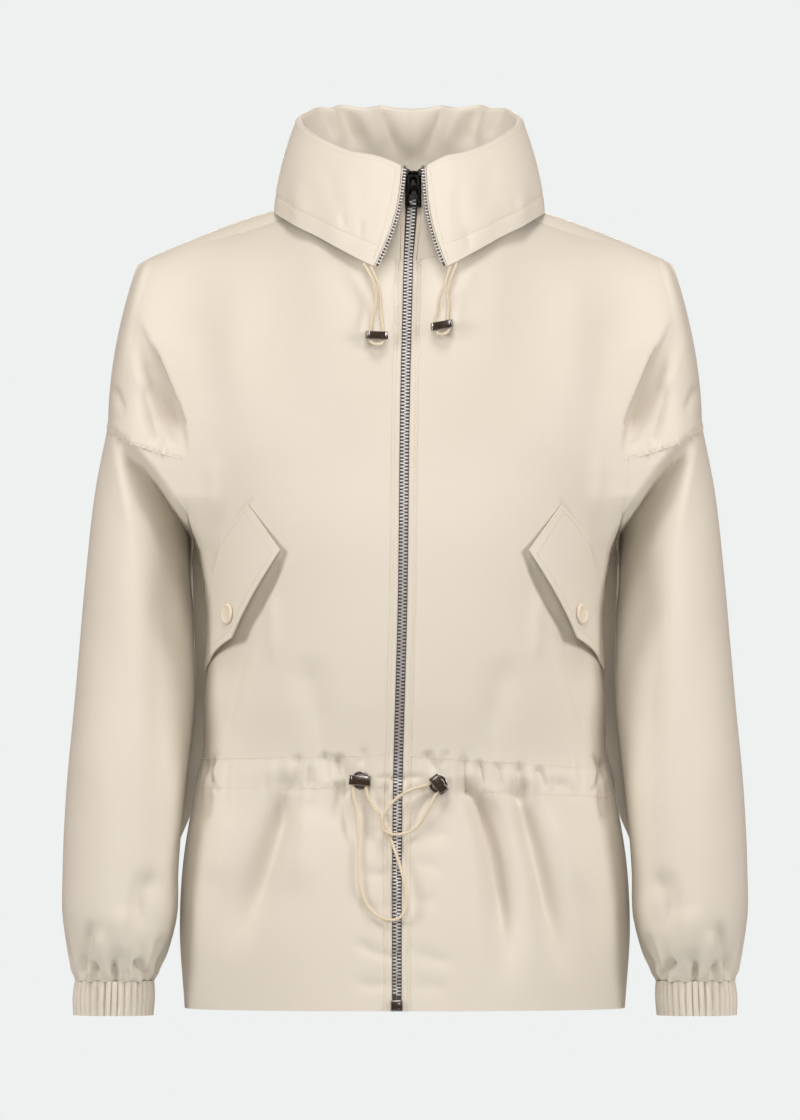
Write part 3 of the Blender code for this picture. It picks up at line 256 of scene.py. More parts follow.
# Pocket flap on the unrolled front: across from the centre and height of its corners, sewn edge first
FLAP_CORNERS = table("across z", [
    (0.1285, -0.232), (0.2140, -0.308), (0.0985, -0.268), (0.1420, -0.338), (0.2080, -0.364),
])
FLAP_POINT = 0.52
FLAP_LIFT = 0.0095
FLAP_BASE = 0.0018
FLAP_CURL = 1.5
FLAP_START = 0.13

# Fine divisions of the sheets
TORSO_SHARES = {
    -1: np.concatenate([
        np.linspace(0, 0.04, 18), np.linspace(0.04, 0.65, 88)[1:], np.linspace(0.65, 1, 36)[1:],
    ]),
    1: np.linspace(0, 1, 88),
}
CAP_SHARES = {
    -1: np.concatenate([np.linspace(0, 0.65, 58)[1:], np.linspace(0.65, 1, 17)[1:]]),
    1: np.linspace(0, 1, 41)[1:],
}
YOKE_SHARES = np.linspace(0, 1, 62)
WAIST_BAND = (-0.425, -0.472)
BODY_Z = np.concatenate([
    np.linspace(ARMHOLE_Z, UNDERARM_Z, 22), np.linspace(UNDERARM_Z, WAIST_BAND[0], 58)[1:],
    np.linspace(*WAIST_BAND, 40)[1:], np.linspace(WAIST_BAND[1], HEM_Z, 56)[1:],
])
# How far aside of the torso part the weave of a shoulder cap is laid out
CAP_ASIDE = 0.3
SLEEVE_TURNS = np.linspace(0, 2, 168, endpoint=False)
SLEEVE_SHARES = np.concatenate([np.linspace(0, 0.85, 120), np.linspace(0.85, 1, 41)[1:]])
COLLAR_ATS = np.linspace(0, 1, 111)
STAND_SHARES = np.linspace(0, 1, 24)
FOLD_ANGLES = np.radians(np.linspace(0, 180, 15)[1:-1])
LEAF_SHARES = np.linspace(0, 1, 48)
FLAP_COLUMNS, FLAP_ROWS = 64, 36

# The four corners of all cells of a grid, in order round the cell
CORNERS = ((slice(None, -1), slice(None, -1)), (slice(1, None), slice(None, -1)),
           (slice(1, None), slice(1, None)), (slice(None, -1), slice(1, None)))

# The edge of each front laps over the zip tape: how far inward each added column lies, and how far out
LAP = ((0.0022, 0.0001), (0.0021, 0.0007), (0.0012, 0.0010))
LAP_RISE = 0.0010
LAP_REACH = 0.0050

# Creases are placed by photograph pixels: three points that the crease passes through, its half width at both
# ends, its height in millimetres with hollows negative, and the share of its height at both ends
CREASE = "x0 y0 x1 y1 x2 y2 wide0 wide1 height start end"
CREASE_SEGMENTS = 10
CREASE_REACH = 3
END_SHARE = 0.35
CREASE_STRENGTH = 2.0
HOLLOW_ROUND = 0.4
HOLLOW_REACH = 1.6
# Creases of the picture's left front, which the right repeats as a mirror image
PAIRED_CREASES = table(CREASE, [
    (142, 383, 150, 408, 158, 436, 7, 7, -2.4, 0, 1),
    (114, 384, 120, 400, 127, 416, 4, 4, -1.2, 0, 0),
    (150, 340, 168, 384, 184, 424, 2.4, 2.6, -4.0, 0, 0.5),
    (214, 448, 213, 485, 217, 528, 7, 7, 0.7, 0, 0),
    (252, 502, 226, 545, 211, 590, 2.5, 2.5, -1.0, 0.5, 0),
    (240, 262, 236, 340, 228, 430, 18, 22, 0.8, 0, 0),
    (246, 641, 230, 698, 213, 757, 11, 9, -2.6, 0.5, 0.3),
    (272, 590, 274, 625, 271, 668, 7, 7, 1.2, 0, 0),
    (284, 556, 268, 592, 241, 640, 5, 6, -2.2, 0.3, 0.3),
    (216, 756, 209, 771, 217, 789, 3.5, 3.5, -2.2, 0.2, 0.3),
    (211, 789, 207, 808, 203, 828, 5, 6, -1.6, 0.6, 0),
])
LEFT_CREASES = table(CREASE, [
    (302, 650, 314, 695, 321, 740, 18, 14, -1.4, 0, 0.3),
    (297, 750, 299, 766, 297, 784, 6, 6, -1.4, 0, 0.4),
    (312, 762, 311, 775, 313, 788, 5, 5, -1.2, 0.2, 0.5),
    (324, 748, 326, 764, 330, 784, 6, 6, -2.0, 0, 0.4),
    (337, 750, 341, 768, 349, 788, 7, 7, -3.0, 0, 1),
    (364, 744, 363, 756, 360, 766, 4, 4, -0.7, 0, 0),
    (215, 773, 290, 771, 345, 769, 10, 10, 0.6, 0.3, 0.5),
    (372, 776, 384, 777, 396, 777, 4, 4, -0.8, 0, 1),
    (287, 788, 266, 850, 228, 962, 14, 20, -8.2, 0.4, 0),
    (343, 786, 347, 812, 350, 846, 5, 6, -2.0, 1, 0),
    (338, 794, 336, 808, 332, 828, 5, 5, -0.9, 0.4, 0),
    (310, 800, 305, 845, 298, 900, 14, 18, 2.0, 0, 0),
    (228, 800, 222, 845, 214, 890, 12, 12, 1.5, 0, 0),
    (352, 935, 370, 947, 390, 953, 7, 5, -1.0, 0, 0.6),
    (362, 826, 374, 832, 388, 829, 6, 5, -0.8, 0, 0.6),
    (362, 864, 376, 872, 390, 869, 6, 5, -0.9, 0, 0.6),
    (358, 898, 374, 905, 391, 902, 6, 5, -0.8, 0, 0.6),
    (350, 975, 372, 982, 391, 979, 7, 5, -0.8, 0, 0.6),
])
RIGHT_CREASES = table(CREASE, [
    (510, 650, 498, 695, 489, 742, 18, 14, -1.2, 0, 0.3),
    (424, 748, 430, 760, 438, 772, 6, 6, -1.6, 0, 0.5),
    (447, 746, 445, 758, 441, 768, 4, 4, -0.6, 0, 0),
    (466, 752, 464, 770, 467, 790, 5, 6, -2.0, 0.2, 1),
    (477, 756, 482, 772, 484, 790, 5, 5, -2.4, 0, 0.4),
    (496, 758, 500, 774, 503, 790, 5, 5, -2.2, 0, 0.4),
    (517, 758, 520, 776, 522, 794, 5, 6, -2.6, 0, 0.9),
    (534, 764, 541, 776, 548, 790, 5, 5, -1.6, 0, 0.2),
    (552, 790, 561, 783, 572, 794, 6, 6, -1.1, 0.3, 0.5),
    (470, 772, 530, 777, 592, 783, 10, 10, 0.6, 0.5, 0.3),
    (404, 777, 415, 776, 430, 777, 4, 4, -0.8, 1, 0),
    (467, 790, 496, 850, 510, 990, 10, 16, -8.8, 0.5, 0),
    (519, 794, 541, 860, 566, 985, 11, 16, -7.2, 0.5, 0),
    (422, 824, 436, 833, 452, 826, 8, 7, -0.9, 0.3, 0),
    (411, 862, 426, 862, 446, 872, 8, 7, -0.7, 0.5, 0),
    (411, 900, 424, 897, 444, 903, 8, 7, -0.6, 0.5, 0),
    (411, 948, 432, 955, 462, 962, 8, 8, -0.8, 0.5, 0),
    (411, 984, 430, 983, 452, 988, 8, 7, -0.6, 0.5, 0),
    (542, 800, 566, 850, 592, 905, 10, 12, 1.5, 0, 0),
])
BACK_CREASES = table(CREASE, [
    (300, 300, 290, 420, 300, 560, 22, 26, -2.2, 0, 0),
    (520, 320, 525, 450, 505, 600, 22, 26, -2.2, 0, 0),
    (196, 440, 208, 490, 216, 545, 10, 10, 2.4, 0.5, 0),
    (614, 440, 602, 490, 594, 545, 10, 10, 2.4, 0.5, 0),
    (340, 655, 350, 705, 352, 757, 12, 8, -2.6, 0, 0.6),
    (470, 645, 462, 705, 460, 757, 12, 8, -2.6, 0, 0.6),
    (268, 640, 285, 700, 290, 757, 10, 8, -2.2, 0, 0.6),
    (542, 650, 530, 700, 525, 757, 10, 8, -2.2, 0, 0.6),
    (205, 759, 405, 759, 605, 759, 2, 2, -0.3, 1, 1),
    (205, 790, 405, 790, 605, 790, 2, 2, -0.4, 1, 1),
    (207, 775, 405, 775, 603, 775, 9, 9, 1.2, 0.5, 0.5),
    (330, 790, 320, 860, 300, 965, 12, 18, -4.0, 0.6, 0),
    (480, 790, 490, 870, 515, 985, 12, 18, -4.0, 0.6, 0),
    (405, 800, 402, 850, 410, 935, 12, 16, 2.4, 0, 0),
    (250, 790, 245, 860, 235, 930, 10, 14, -3.0, 0.6, 0),
    (560, 790, 566, 850, 580, 945, 10, 14, -3.0, 0.6, 0),
])
# Creases of the picture's left sleeve, of which the right is a mirror image
SLEEVE_CREASES = table(CREASE, [
    (158, 446, 161, 454, 164, 464, 3, 3, -1.5, 0.5, 0),
    (158, 545, 166, 670, 168, 810, 20, 18, -4.0, 0.2, 0),
    (98, 620, 94, 720, 92, 820, 18, 18, 1.2, 0, 0),
    (94, 916, 88, 945, 83, 976, 5, 5, -3.2, 0, 0.6),
    (92, 956, 97, 970, 104, 985, 4, 4, -2.2, 0, 0.6),
    (101, 926, 99, 948, 95, 970, 7, 7, 1.2, 0, 0),
    (121, 900, 122, 932, 124, 962, 12, 12, 1.8, 0, 0),
    (113, 956, 116, 971, 121, 985, 4, 4, -2.2, 0, 0.6),
    (127, 963, 129, 974, 130, 985, 3, 3, -1.5, 0, 0.6),
    (134, 955, 143, 970, 152, 984, 5, 5, -3.2, 0, 0.7),
    (166, 872, 144, 894, 150, 938, 11, 10, -3.0, 0, 0),
    (165, 928, 160, 952, 154, 977, 5, 5, -2.0, 0, 0.5),
])
SLEEVE_BACK_CREASES = table(CREASE, [
    (120, 440, 150, 520, 165, 610, 8, 24, -8.0, 0.1, 0),
    (150, 455, 172, 500, 190, 560, 8, 9, 2.4, 0.3, 0),
    (110, 640, 122, 720, 118, 800, 16, 16, -2.4, 0, 0),
    (150, 690, 140, 780, 146, 860, 14, 14, 2.0, 0, 0),
    (105, 905, 110, 940, 104, 978, 6, 6, -4.0, 0, 0.5),
    (140, 915, 132, 945, 136, 980, 6, 6, -3.5, 0, 0.5),
    (160, 920, 158, 950, 150, 978, 5, 5, -2.5, 0, 0.5),
])
LEAF_CREASES = table(CREASE, [
    (325, 160, 331, 188, 343, 219, 9, 9, -0.4, 0, 0.3),
    (357, 165, 361, 200, 361, 236, 8, 7, -0.4, 0, 0.5),
    (310, 175, 312, 195, 318, 214, 9, 8, -0.3, 0, 0),
    (361, 220, 361, 230, 359, 242, 3, 3, -0.6, 0, 0),
    (343, 213, 344, 222, 343, 233, 4, 4, -0.5, 0, 0),
    (465, 228, 467, 240, 471, 253, 4, 4, -0.7, 0, 0),
    (462, 172, 460, 204, 464, 234, 8, 7, -0.4, 0, 0.4),
    (492, 160, 487, 190, 480, 220, 9, 9, -0.4, 0, 0.3),
    (513, 194, 515, 205, 518, 216, 4, 4, -0.6, 0, 0),
    (446, 180, 447, 215, 449, 250, 6, 6, 0.5, 0, 0),
    (386, 180, 382, 215, 372, 252, 6, 6, 0.5, 0, 0),
])
# Puckers inside the back of the stand. Its cloth faces the neck, so hollows are further back
STAND_CREASES = table(CREASE, [
    (319, 104, 328, 122, 339, 142, 7, 7, -1.8, 1, 0),
    (332, 104, 338, 125, 345, 144, 5, 5, 0.8, 1, 0),
    (344, 104, 350, 128, 359, 152, 9, 11, -3.2, 0.7, 0.3),
    (364, 104, 370, 128, 381, 154, 7, 7, 1.2, 1, 0),
    (383, 104, 388, 130, 402, 160, 7, 9, -3.2, 0.7, 0.5),
    (412, 104, 412, 130, 412, 156, 12, 10, 1.4, 1, 0),
    (441, 104, 434, 130, 424, 158, 7, 9, -3.2, 0.7, 0.5),
    (458, 104, 452, 128, 446, 152, 7, 7, 1.2, 1, 0),
    (477, 104, 471, 128, 465, 150, 9, 11, -3.2, 0.7, 0.3),
    (490, 104, 484, 125, 478, 144, 5, 5, 0.8, 1, 0),
    (504, 104, 497, 122, 486, 144, 7, 7, -1.8, 1, 0),
])

# Stitches: the rows beside the zip and the dent along them, then a stitch's length, spacing and half
# thickness, and the share of its length, from the middle, where it starts to narrow
ZIP_STITCHES = (0.0012, 0.0038)
STITCH_SINK = 0.0004
STITCH_SINK_REACH = 0.0009
STITCH_LENGTH = 0.0021
STITCH_PITCH = 0.0029
STITCH_RADIUS = 0.00036
STITCH_SHOULDER = 0.3
# Heights of the waist channel's upper and lower rows, on each front at the zip and at the side seam, and on
# the back
WAIST_ROWS = {
    -1: ((-0.4306, -0.4352), (-0.4568, -0.4576)),
    1: ((-0.4306, -0.4448), (-0.4564, -0.4660)),
}
BACK_WAIST_ROWS = (-0.4352, -0.4600)
# Rows of stitches beside an edge, in steps of the grid that they lie on
ARMHOLE_INSET = 0.9
LEAF_INSET = 1
SEWN_INSET = 2
FREE_INSET = 3

# Zip tape: gaps beside the front edge and at the centre, its columns, the rows over which it parts, and the
# column where its corded edge begins, a little raised. That edge is a strip of its own in a near-black
# finish, which is painted shade between the teeth, for the real cord has the tape's colour
TAPE_WIDTH = 0.0030
TAPE_GAP = 0.0004
CENTRE_GAP = 0.0001
TAPE_COLUMNS = 6
PARTING_ROWS = 4
SHADE_EDGE_FIRST = 2
SHADE_EDGE_RISE = 0.0004
# Zip teeth: pitch on one tape, and sections from the tape to the tip: reach, half height, half thickness
TOOTH_PITCH = 0.0028
TOOTH_SECTIONS = (
    (-0.0033, 0.00040, 0.0007), (-0.0030, 0.00072, 0.0012), (-0.0008, 0.00072, 0.0012),
    (-0.0001, 0.00056, 0.0009), (0.0007, 0.00052, 0.0008), (0.0010, 0.00030, 0.0005),
)
TOOTH_BEVEL = 0.35
# Where the closed chain begins above the hem and ends, and how many rows past the stand the parted one begins
CHAIN_FOOT = 0.0100
CHAIN_TOP_Z = 0.0215
PARTED_FIRST = 7

# Slider: width, depth and height, its seat in the zip, its outline, which is wider above, and its spine
SLIDER_SIZE = (0.0084, 0.0046, 0.0120)
SLIDER_Z = 0.0273
SLIDER_SEAT = 0.00023
SLIDER_FOOT, SLIDER_TAPER = 0.84, 1.19
SLIDER_CORNER, SLIDER_RIM = 0.0022, 0.0009
SPINE_SIZE, SPINE_RIM = (0.0026, 0.0004, 0.0090), 0.00015
# The slider's bail, and the pivot that it makes for the pull
PIVOT_OUT = 0.0014
PIVOT_UP = 0.0010
BAIL_RADIUS = 0.0020
BAIL_WIRE = 0.0006
BAIL_WIDTH = 1.6
BAIL_HALF_TURN = math.radians(144)
BAIL_RINGS = 25
# Pull tab: its holes and raised frame are rounded rectangles: size, corner radius and drop below the crossbar
PULL_SIZE = (0.0132, 0.0014, 0.0262)
PULL_BAR = 0.0008
PULL_TAPER = 0.94
PULL_CORNER, PULL_RIM = 0.0014, 0.0003
PULL_HOLES = (((0.0042, 0.0046), 0.0008, 0.0031), ((0.0064, 0.0052), 0.0012, 0.0208))
PULL_FRAME = (((0.0092, 0.0092), 0.0010, 0.0118), ((0.0066, 0.0066), 0.0007, 0.0118))
FRAME_DEPTH, FRAME_RIM, FRAME_RISE = 0.0005, 0.00015, 0.0001
# Retainer box at the zip's foot, with two ridges on its front
ZIP_BOX_SIZE = (0.0090, 0.0036, 0.0085)
ZIP_BOX_RIM = 0.0009
ZIP_BOX_RISE = 0.0005
ZIP_BOX_OUT = 0.0008
ZIP_BOX_RIDGES = table("x z wide deep tall rim", [
    (-0.00198, 0.0003, 0.0018, 0.0012, 0.00680, 0.0005),
    (0.00180, -0.0004, 0.0030, 0.0010, 0.00425, 0.0004),
])

# Snap: profile of its cap as radius and height, and its place on the flap as shares of rows and columns
SNAP_PROFILE = (
    (0.0075, 0.0000), (0.0083, 0.0004), (0.0085, 0.0010), (0.0084, 0.0018), (0.0078, 0.0025),
    (0.0070, 0.0028), (0.0063, 0.0027), (0.0058, 0.0023), (0.0045, 0.0021), (0.0009, 0.0020),
)
SNAP_AT = (0.75, 0.5)
# Waist eyelets: rings of flattened wire
EYELET_RADIUS = 0.0062
EYELET_WIRE = 0.0011
EYELET_FLATNESS = 0.7
EYELET_STEPS = 56
EYELET_OFF = 0.0023
# Stoppers on the front, collar then waist, right then left of the wearer: place, size, turn in degrees and
# stand-off
STOPPERS = table("x z size_x size_y size_z turn off", [
    (-0.0245, -0.0975, 0.0176, 0.0066, 0.0062, 2, 0.0080),
    (0.0310, -0.0895, 0.0176, 0.0066, 0.0062, -10, 0.0080),
    (-0.0350, -0.4510, 0.0170, 0.0066, 0.0080, 4, 0.0068),
    (0.0262, -0.4540, 0.0160, 0.0066, 0.0080, 52, 0.0068),
])
STOPPER_BODY = (0.96, 0.94)
STOPPER_CORNER, STOPPER_RIM = 0.0022, 0.0008
FLANGE, FLANGE_RIM = 0.0014, 0.0005
CORD_HOLE = 0.0040
HOLE_SPACING = 0.0105

# Cords: the small loop under a collar stopper, and the exits from the leaf's front corner as shares of a
# stretch of its edge, just below it
CORD_DIAMETER = 0.0025
CORD_POINTS = 36
LOOP_ROUNDNESS = 0.7
LOOP_ANGLES = (50, 130)
LOOP_DROP = 0.0008
LEAF_EXITS = {"outer": 0.65, "inner": 0.20}
LEAF_EXIT_DROP = 0.0018
LEAF_CORNER = 1 / 12
# Free parts of the cords seen from the front, with their stand-off from the cloth in millimetres
COLLAR_STRANDS = {
    -1: {"outer": [(-0.0240, -0.0580, 14), (-0.0230, -0.0690, 11), (-0.0256, -0.0810, 8.5)],
         "inner": [(-0.0208, -0.0580, 14), (-0.0194, -0.0690, 11), (-0.0190, -0.0810, 8.5)]},
    1: {"outer": [(0.0352, -0.0570, 14), (0.0338, -0.0670, 11), (0.0345, -0.0770, 8.5)],
        "inner": [(0.0312, -0.0570, 14), (0.0274, -0.0670, 11), (0.0258, -0.0770, 8.5)]},
}
WAIST_LOOPS = {
    -1: [(-0.0376, -0.4800, 5.0), (-0.0368, -0.5000, 3.5), (-0.0366, -0.5200, 3.5), (-0.0350, -0.5370, 3.5),
         (-0.0290, -0.5510, 4.0), (-0.0190, -0.5595, 5.0), (-0.0080, -0.5612, 6.0), (-0.0010, -0.5560, 6.5),
         (0.0008, -0.5450, 6.5), (-0.0010, -0.5300, 6.5), (-0.0055, -0.5140, 6.0), (-0.0110, -0.4985, 5.5),
         (-0.0175, -0.4830, 5.5)],
    1: [(0.0030, -0.4590, 9.5), (-0.0065, -0.4650, 9.5), (-0.0140, -0.4735, 9.5), (-0.0180, -0.4830, 9.5),
        (-0.0165, -0.4905, 9.5), (-0.0105, -0.4935, 9.0), (-0.0020, -0.4932, 8.0), (0.0065, -0.4900, 6.0),
        (0.0130, -0.4835, 5.5), (0.0180, -0.4745, 7.0)],
}
# The front cloth that they lie on: its half width, and how many of its points give the depth at a place
CHEST_SPAN = 0.08
NEAR_POINTS = 6
NEAR_SOFTNESS = 1e-4

# Steps of round shapes, the angle from which an edge stays sharp, and the distance at which points are welded
CORNER_STEPS = 7
WIRE_SIDES = 12
HOLE_SIDES = 24
LATHE_SIDES = 48
SHARP_ANGLE = 35
WELD = 1e-6

# Woven finishes: darker and lighter tint, width of a thread, roughness, and strength of the small crumples
WOVEN = {
    "cloth": ((0.697, 0.644, 0.556), (0.716, 0.665, 0.579), 0.0006, 0.62, 0.25),
    "tape": ((0.740, 0.645, 0.530), (0.775, 0.680, 0.560), 0.0011, 0.75, 0.10),
    "thread": ((0.700, 0.600, 0.470), (0.750, 0.650, 0.520), 0.0003, 0.55, 0.10),
    # Near-black tints of the tape's corded edge: painted shade between the zip teeth
    "painted_shade_edge": ((0.050, 0.043, 0.040), (0.080, 0.070, 0.064), 0.0011, 0.80, 0.10),
}
# Metal finishes: darker and lighter tint, and the least and the greatest roughness
METALS = {
    "metal": ((0.20, 0.18, 0.17), (0.28, 0.26, 0.25), (0.12, 0.24)),
    "black": ((0.005, 0.005, 0.005), (0.012, 0.011, 0.011), (0.10, 0.20)),
    "teeth": ((0.58, 0.57, 0.57), (0.68, 0.67, 0.66), (0.44, 0.56)),
}
# Cord tints: the cord's own tone, and a darker one that is painted shade in the grooves between its strands
CORD_AND_GROOVE_SHADE_TINTS = ((0.640, 0.530, 0.370), (0.830, 0.730, 0.560))
SNAP_TINTS = ((0.750, 0.660, 0.530), (0.775, 0.685, 0.555))
FLOOR_TINTS = ((0.700, 0.765, 0.790), (0.715, 0.780, 0.805))
# Length of a wave texture's period at scale 1, and the turns of yarn along one length of a cord's texture
WAVE_PERIOD = math.pi / 10
CORD_TWISTS = 70.0

# Camera, floor, the surroundings as they are seen, and the light that they give
CAMERA_DISTANCE = 15.0
FLOOR_Z = -1.35
FLOOR_RADIUS = 1.4
BACKDROP = (0.855, 0.880, 0.871)
AMBIENT = (1.0, 0.68, 0.44)
AMBIENT_STRENGTH = 0.18
# Area lights: place, the point they face, size in metres and power in watts
LIGHTS = {
    "front": ((0.0, -2.8, 0.6), (0, 0, -0.25), 1.2, 18.0),
    "over": ((0.0, -1.6, 2.0), (0, 0, -0.1), 1.2, 33.0),
    "left": ((-2.4, -1.5, 0.3), (0, 0, -0.3), 1.0, 36.0),
    "right": ((2.4, -1.5, 0.3), (0, 0, -0.3), 1.0, 36.0),
    "rear": ((0.0, 2.8, 0.6), (0, 0, -0.3), 1.2, 72.0),
}


# Curves and directions
def spline(keys, values, at):
    """Smooth curve through values at rising keys, with each slope taken from its neighbours."""
    at = np.asarray(at, float)
    slopes = np.gradient(values, keys, axis=0)
    low = np.clip(np.searchsorted(keys, at, side="right") - 1, 0, len(keys) - 2)
    step = keys[low + 1] - keys[low]
    t = (at - keys[low]) / step
    if values.ndim > 1:
        step, t = step[..., None], t[..., None]
    return hermite(values[low], slopes[low] * step, values[low + 1], slopes[low + 1] * step, t)


def hermite(start, start_slope, end, end_slope, t):
    """Cubic curve from start to end with the given end slopes."""
    return ((2 * t**3 - 3 * t**2 + 1) * start + (t**3 - 2 * t**2 + t) * start_slope
            + (3 * t**2 - 2 * t**3) * end + (t**3 - t**2) * end_slope)


def read(sizes, column, at):
    """One column of a table at any place between its rows."""
    return spline(sizes[next(iter(sizes))], sizes[column], at)


def read_points(sizes, columns, at):
    return np.stack([read(sizes, column, at) for column in columns.split()], axis=-1)


def window(distance, reach):
    """1 at distance 0, falling smoothly to 0."""
    return np.exp(-(distance / reach) ** 2)


def ramp(low, high, at):
    """0 below low and 1 above high, smooth between."""
    t = np.clip((at - low) / (high - low), 0, 1)
    return t * t * (3 - 2 * t)


def unit(vectors):
    return vectors / np.maximum(np.linalg.norm(vectors, axis=-1, keepdims=True), TINY)


def lengths_along(points):
    """How far along a line of points each one lies."""
    return np.concatenate([[0], np.cumsum(np.linalg.norm(np.diff(points, axis=0), axis=1))])


def mirror(points, side):
    return points * np.array((side, 1, 1))


# Creases
def crease_line(row):
    """Points of a bent line through a crease's three places."""
    x0, y0, x1, y1, x2, y2 = row[:6]
    t = np.linspace(0, 1, CREASE_SEGMENTS + 1)
    start, middle, end = (1 - t) * (1 - 2 * t), 4 * t * (1 - t), t * (2 * t - 1)
    return start * x0 + middle * x1 + end * x2, start * y0 + middle * y1 + end * y2


def nearest(line_x, line_y, px, py):
    """Distance of places from a bent line, and the share of its length where each is nearest."""
    away, share = np.full(px.shape, np.inf), np.zeros(px.shape)
    for k in range(CREASE_SEGMENTS):
        run_x, run_y = line_x[k + 1] - line_x[k], line_y[k + 1] - line_y[k]
        off_x, off_y = px - line_x[k], py - line_y[k]
        held = np.clip((off_x * run_x + off_y * run_y) / (run_x**2 + run_y**2), 0, 1)
        distance = np.hypot(off_x - held * run_x, off_y - held * run_y)
        closer = distance < away
        away = np.where(closer, distance, away)
        share = np.where(closer, (k + held) / CREASE_SEGMENTS, share)
    return away, share


def hollow(spread):
    """Section of a hollow: 1 at its rounded bottom, with steep sides that ease out to 0."""
    return np.maximum(0, 1 - (np.hypot(spread, HOLLOW_ROUND) - HOLLOW_ROUND) / HOLLOW_REACH) ** 2


def crease_height(creases, px, py):
    """Sum of the creases at places of the photograph, in metres, positive outward."""
    total = np.zeros(px.shape)
    for row in zip(*creases.values()):
        wide0, wide1, height, start, end = row[6:]
        line_x, line_y = crease_line(row)
        reach = CREASE_REACH * max(wide0, wide1)
        close = (px > line_x.min() - reach) & (px < line_x.max() + reach)
        close &= (py > line_y.min() - reach) & (py < line_y.max() + reach)
        if not close.any():
            continue
        away, share = nearest(line_x, line_y, px[close], py[close])
        spread = away / (wide0 + (wide1 - wide0) * share)
        from_start, from_end = ramp(0, END_SHARE, share), ramp(0, END_SHARE, 1 - share)
        strength = (start + (1 - start) * from_start) * (end + (1 - end) * from_end)
        profile = window(spread, 1) if height > 0 else hollow(spread)
        total[close] += strength * height * profile / MM_PER_METRE
    return total * CREASE_STRENGTH


def photo_place(points):
    """Photograph pixels of points seen from the front."""
    return ORIGIN_PX + points[..., 0] / PIXEL, ORIGIN_PY - points[..., 2] / PIXEL


# Form of the body
def waist_gathers(across, z, face):
    """Puckers drawn up by the waist cord, uneven in depth, fading above and below its channel."""
    wave = 2 * math.pi * WAIST_GATHERS * across / PANEL_WIDTH
    uneven = GATHER_MEAN + GATHER_SWING * np.sin(GATHER_PACE * wave + GATHER_START)
    return WAIST_GATHER_DEPTH[face] * uneven * np.cos(wave) * window(z - WAIST_Z, WAIST_GATHER_REACH)


def torso_ring(z, face):
    """Points of a half section from the centre to the side seam, and how far along the cloth each lies."""
    angle = np.linspace(0, RIGHT_ANGLE, RING_STEPS)
    power = 2 / SQUARENESS
    depth = read(TORSO, "front" if face < 0 else "back", z)
    x = read(TORSO, "half_width", z) * np.sin(angle) ** power
    y = face * depth * np.cos(angle) ** power
    along = np.concatenate([[0], np.cumsum(np.hypot(np.diff(x), np.diff(y)))])
    return angle, x, y, along


def torso_edge(z, face):
    """Angle at which the panel ends: the valley at the armhole, turning to the side seam at the underarm."""
    share = np.clip((ARMHOLE_Z - z) / (ARMHOLE_Z - UNDERARM_Z), 0, 1)
    return VALLEY_ANGLE[face] + (RIGHT_ANGLE - VALLEY_ANGLE[face]) * share


def torso_points(across, z, face, lift=0.0):
    """Points of the body cloth at distances across from the centre at one height, moved out by lift."""
    _, x, y, along = torso_ring(z, face)
    px, py = np.interp(across, along, x), np.interp(across, along, y)
    outward = unit(np.stack([px / x[-1]**2, py / y[0]**2], axis=-1))
    if face < 0:
        px = px + ZIP_HALF_WIDTH * window(px, ZIP_SPREAD)
    lift = lift + waist_gathers(across, z, face)
    return np.stack([px + outward[..., 0] * lift, py + outward[..., 1] * lift, np.full_like(px, z)], axis=-1)


def torso_length(z, face):
    """Length of cloth from the centre to the panel's edge."""
    angle, _, _, along = torso_ring(z, face)
    return np.interp(torso_edge(z, face), angle, along)


def armhole_row(face, at):
    """Points of the chest line and of the armhole seam that continues it round the arm."""
    across = np.minimum(at / TORSO_AT, 1) * torso_length(ARMHOLE_Z, face)
    chest = torso_points(across, ARMHOLE_Z, face)
    valley = torso_points(np.array([torso_length(ARMHOLE_Z, face)]), ARMHOLE_Z, face)[0]
    turn = np.clip((at - TORSO_AT) / (1 - TORSO_AT), 0, 1)
    run = ARM_OUTSIDE - valley
    bulge = face * CAP_BULGE[face] * np.sin(math.pi * turn)
    cap = np.stack([
        valley[0] + run[0] * np.sin(turn * RIGHT_ANGLE) ** CAP_ROUNDNESS,
        valley[1] * np.cos(turn * RIGHT_ANGLE) + ARM_OUTSIDE[1] * turn + bulge,
        valley[2] + run[2] * turn,
    ], axis=-1)
    return np.where((at <= TORSO_AT)[:, None], chest, cap)


def top_points(face, columns, at):
    """Columns of the top edge, read apart on the neckline and the shoulder, which meet at a corner."""
    top = FRONT_TOP if face < 0 else BACK_TOP
    on_neck = {name: values[top["at"] <= NECK_AT] for name, values in top.items()}
    on_shoulder = {name: values[top["at"] >= NECK_AT] for name, values in top.items()}
    neck, shoulder = read_points(on_neck, columns, at), read_points(on_shoulder, columns, at)
    return np.where((at <= NECK_AT)[:, None], neck, shoulder)


def yoke_rows(face, at, shares):
    """Rows from the neck and shoulder seam down to the chest line, where they run on into the body."""
    start, slope = top_points(face, "x y z", at), top_points(face, "slope_x slope_y slope_z", at)
    end = armhole_row(face, at)
    across = np.minimum(at / TORSO_AT, 1) * torso_length(ARMHOLE_Z, face)
    lower = torso_points(across, ARMHOLE_Z - SLOPE_STEP, face) - torso_points(across, ARMHOLE_Z, face)
    on_cap = ramp(*CHEST_FADE, at)[:, None]
    below = CHEST_SLOPE * (lower / SLOPE_STEP * (1 - on_cap) + np.array((0, 0, -1)) * on_cap)
    soft_start, soft_slope = softened(at, start, NECK_AT), softened(at, slope, NECK_AT)
    soft_end = softened(at, end, TORSO_AT)
    rows = []
    for share in shares:
        low, high = ramp(0, YOKE_FADE, share), ramp(0, YOKE_FADE, 1 - share)
        rows.append(hermite(start + (soft_start - start) * low, slope + (soft_slope - slope) * low,
                            end + (soft_end - end) * high, below, share))
    return np.array(rows)


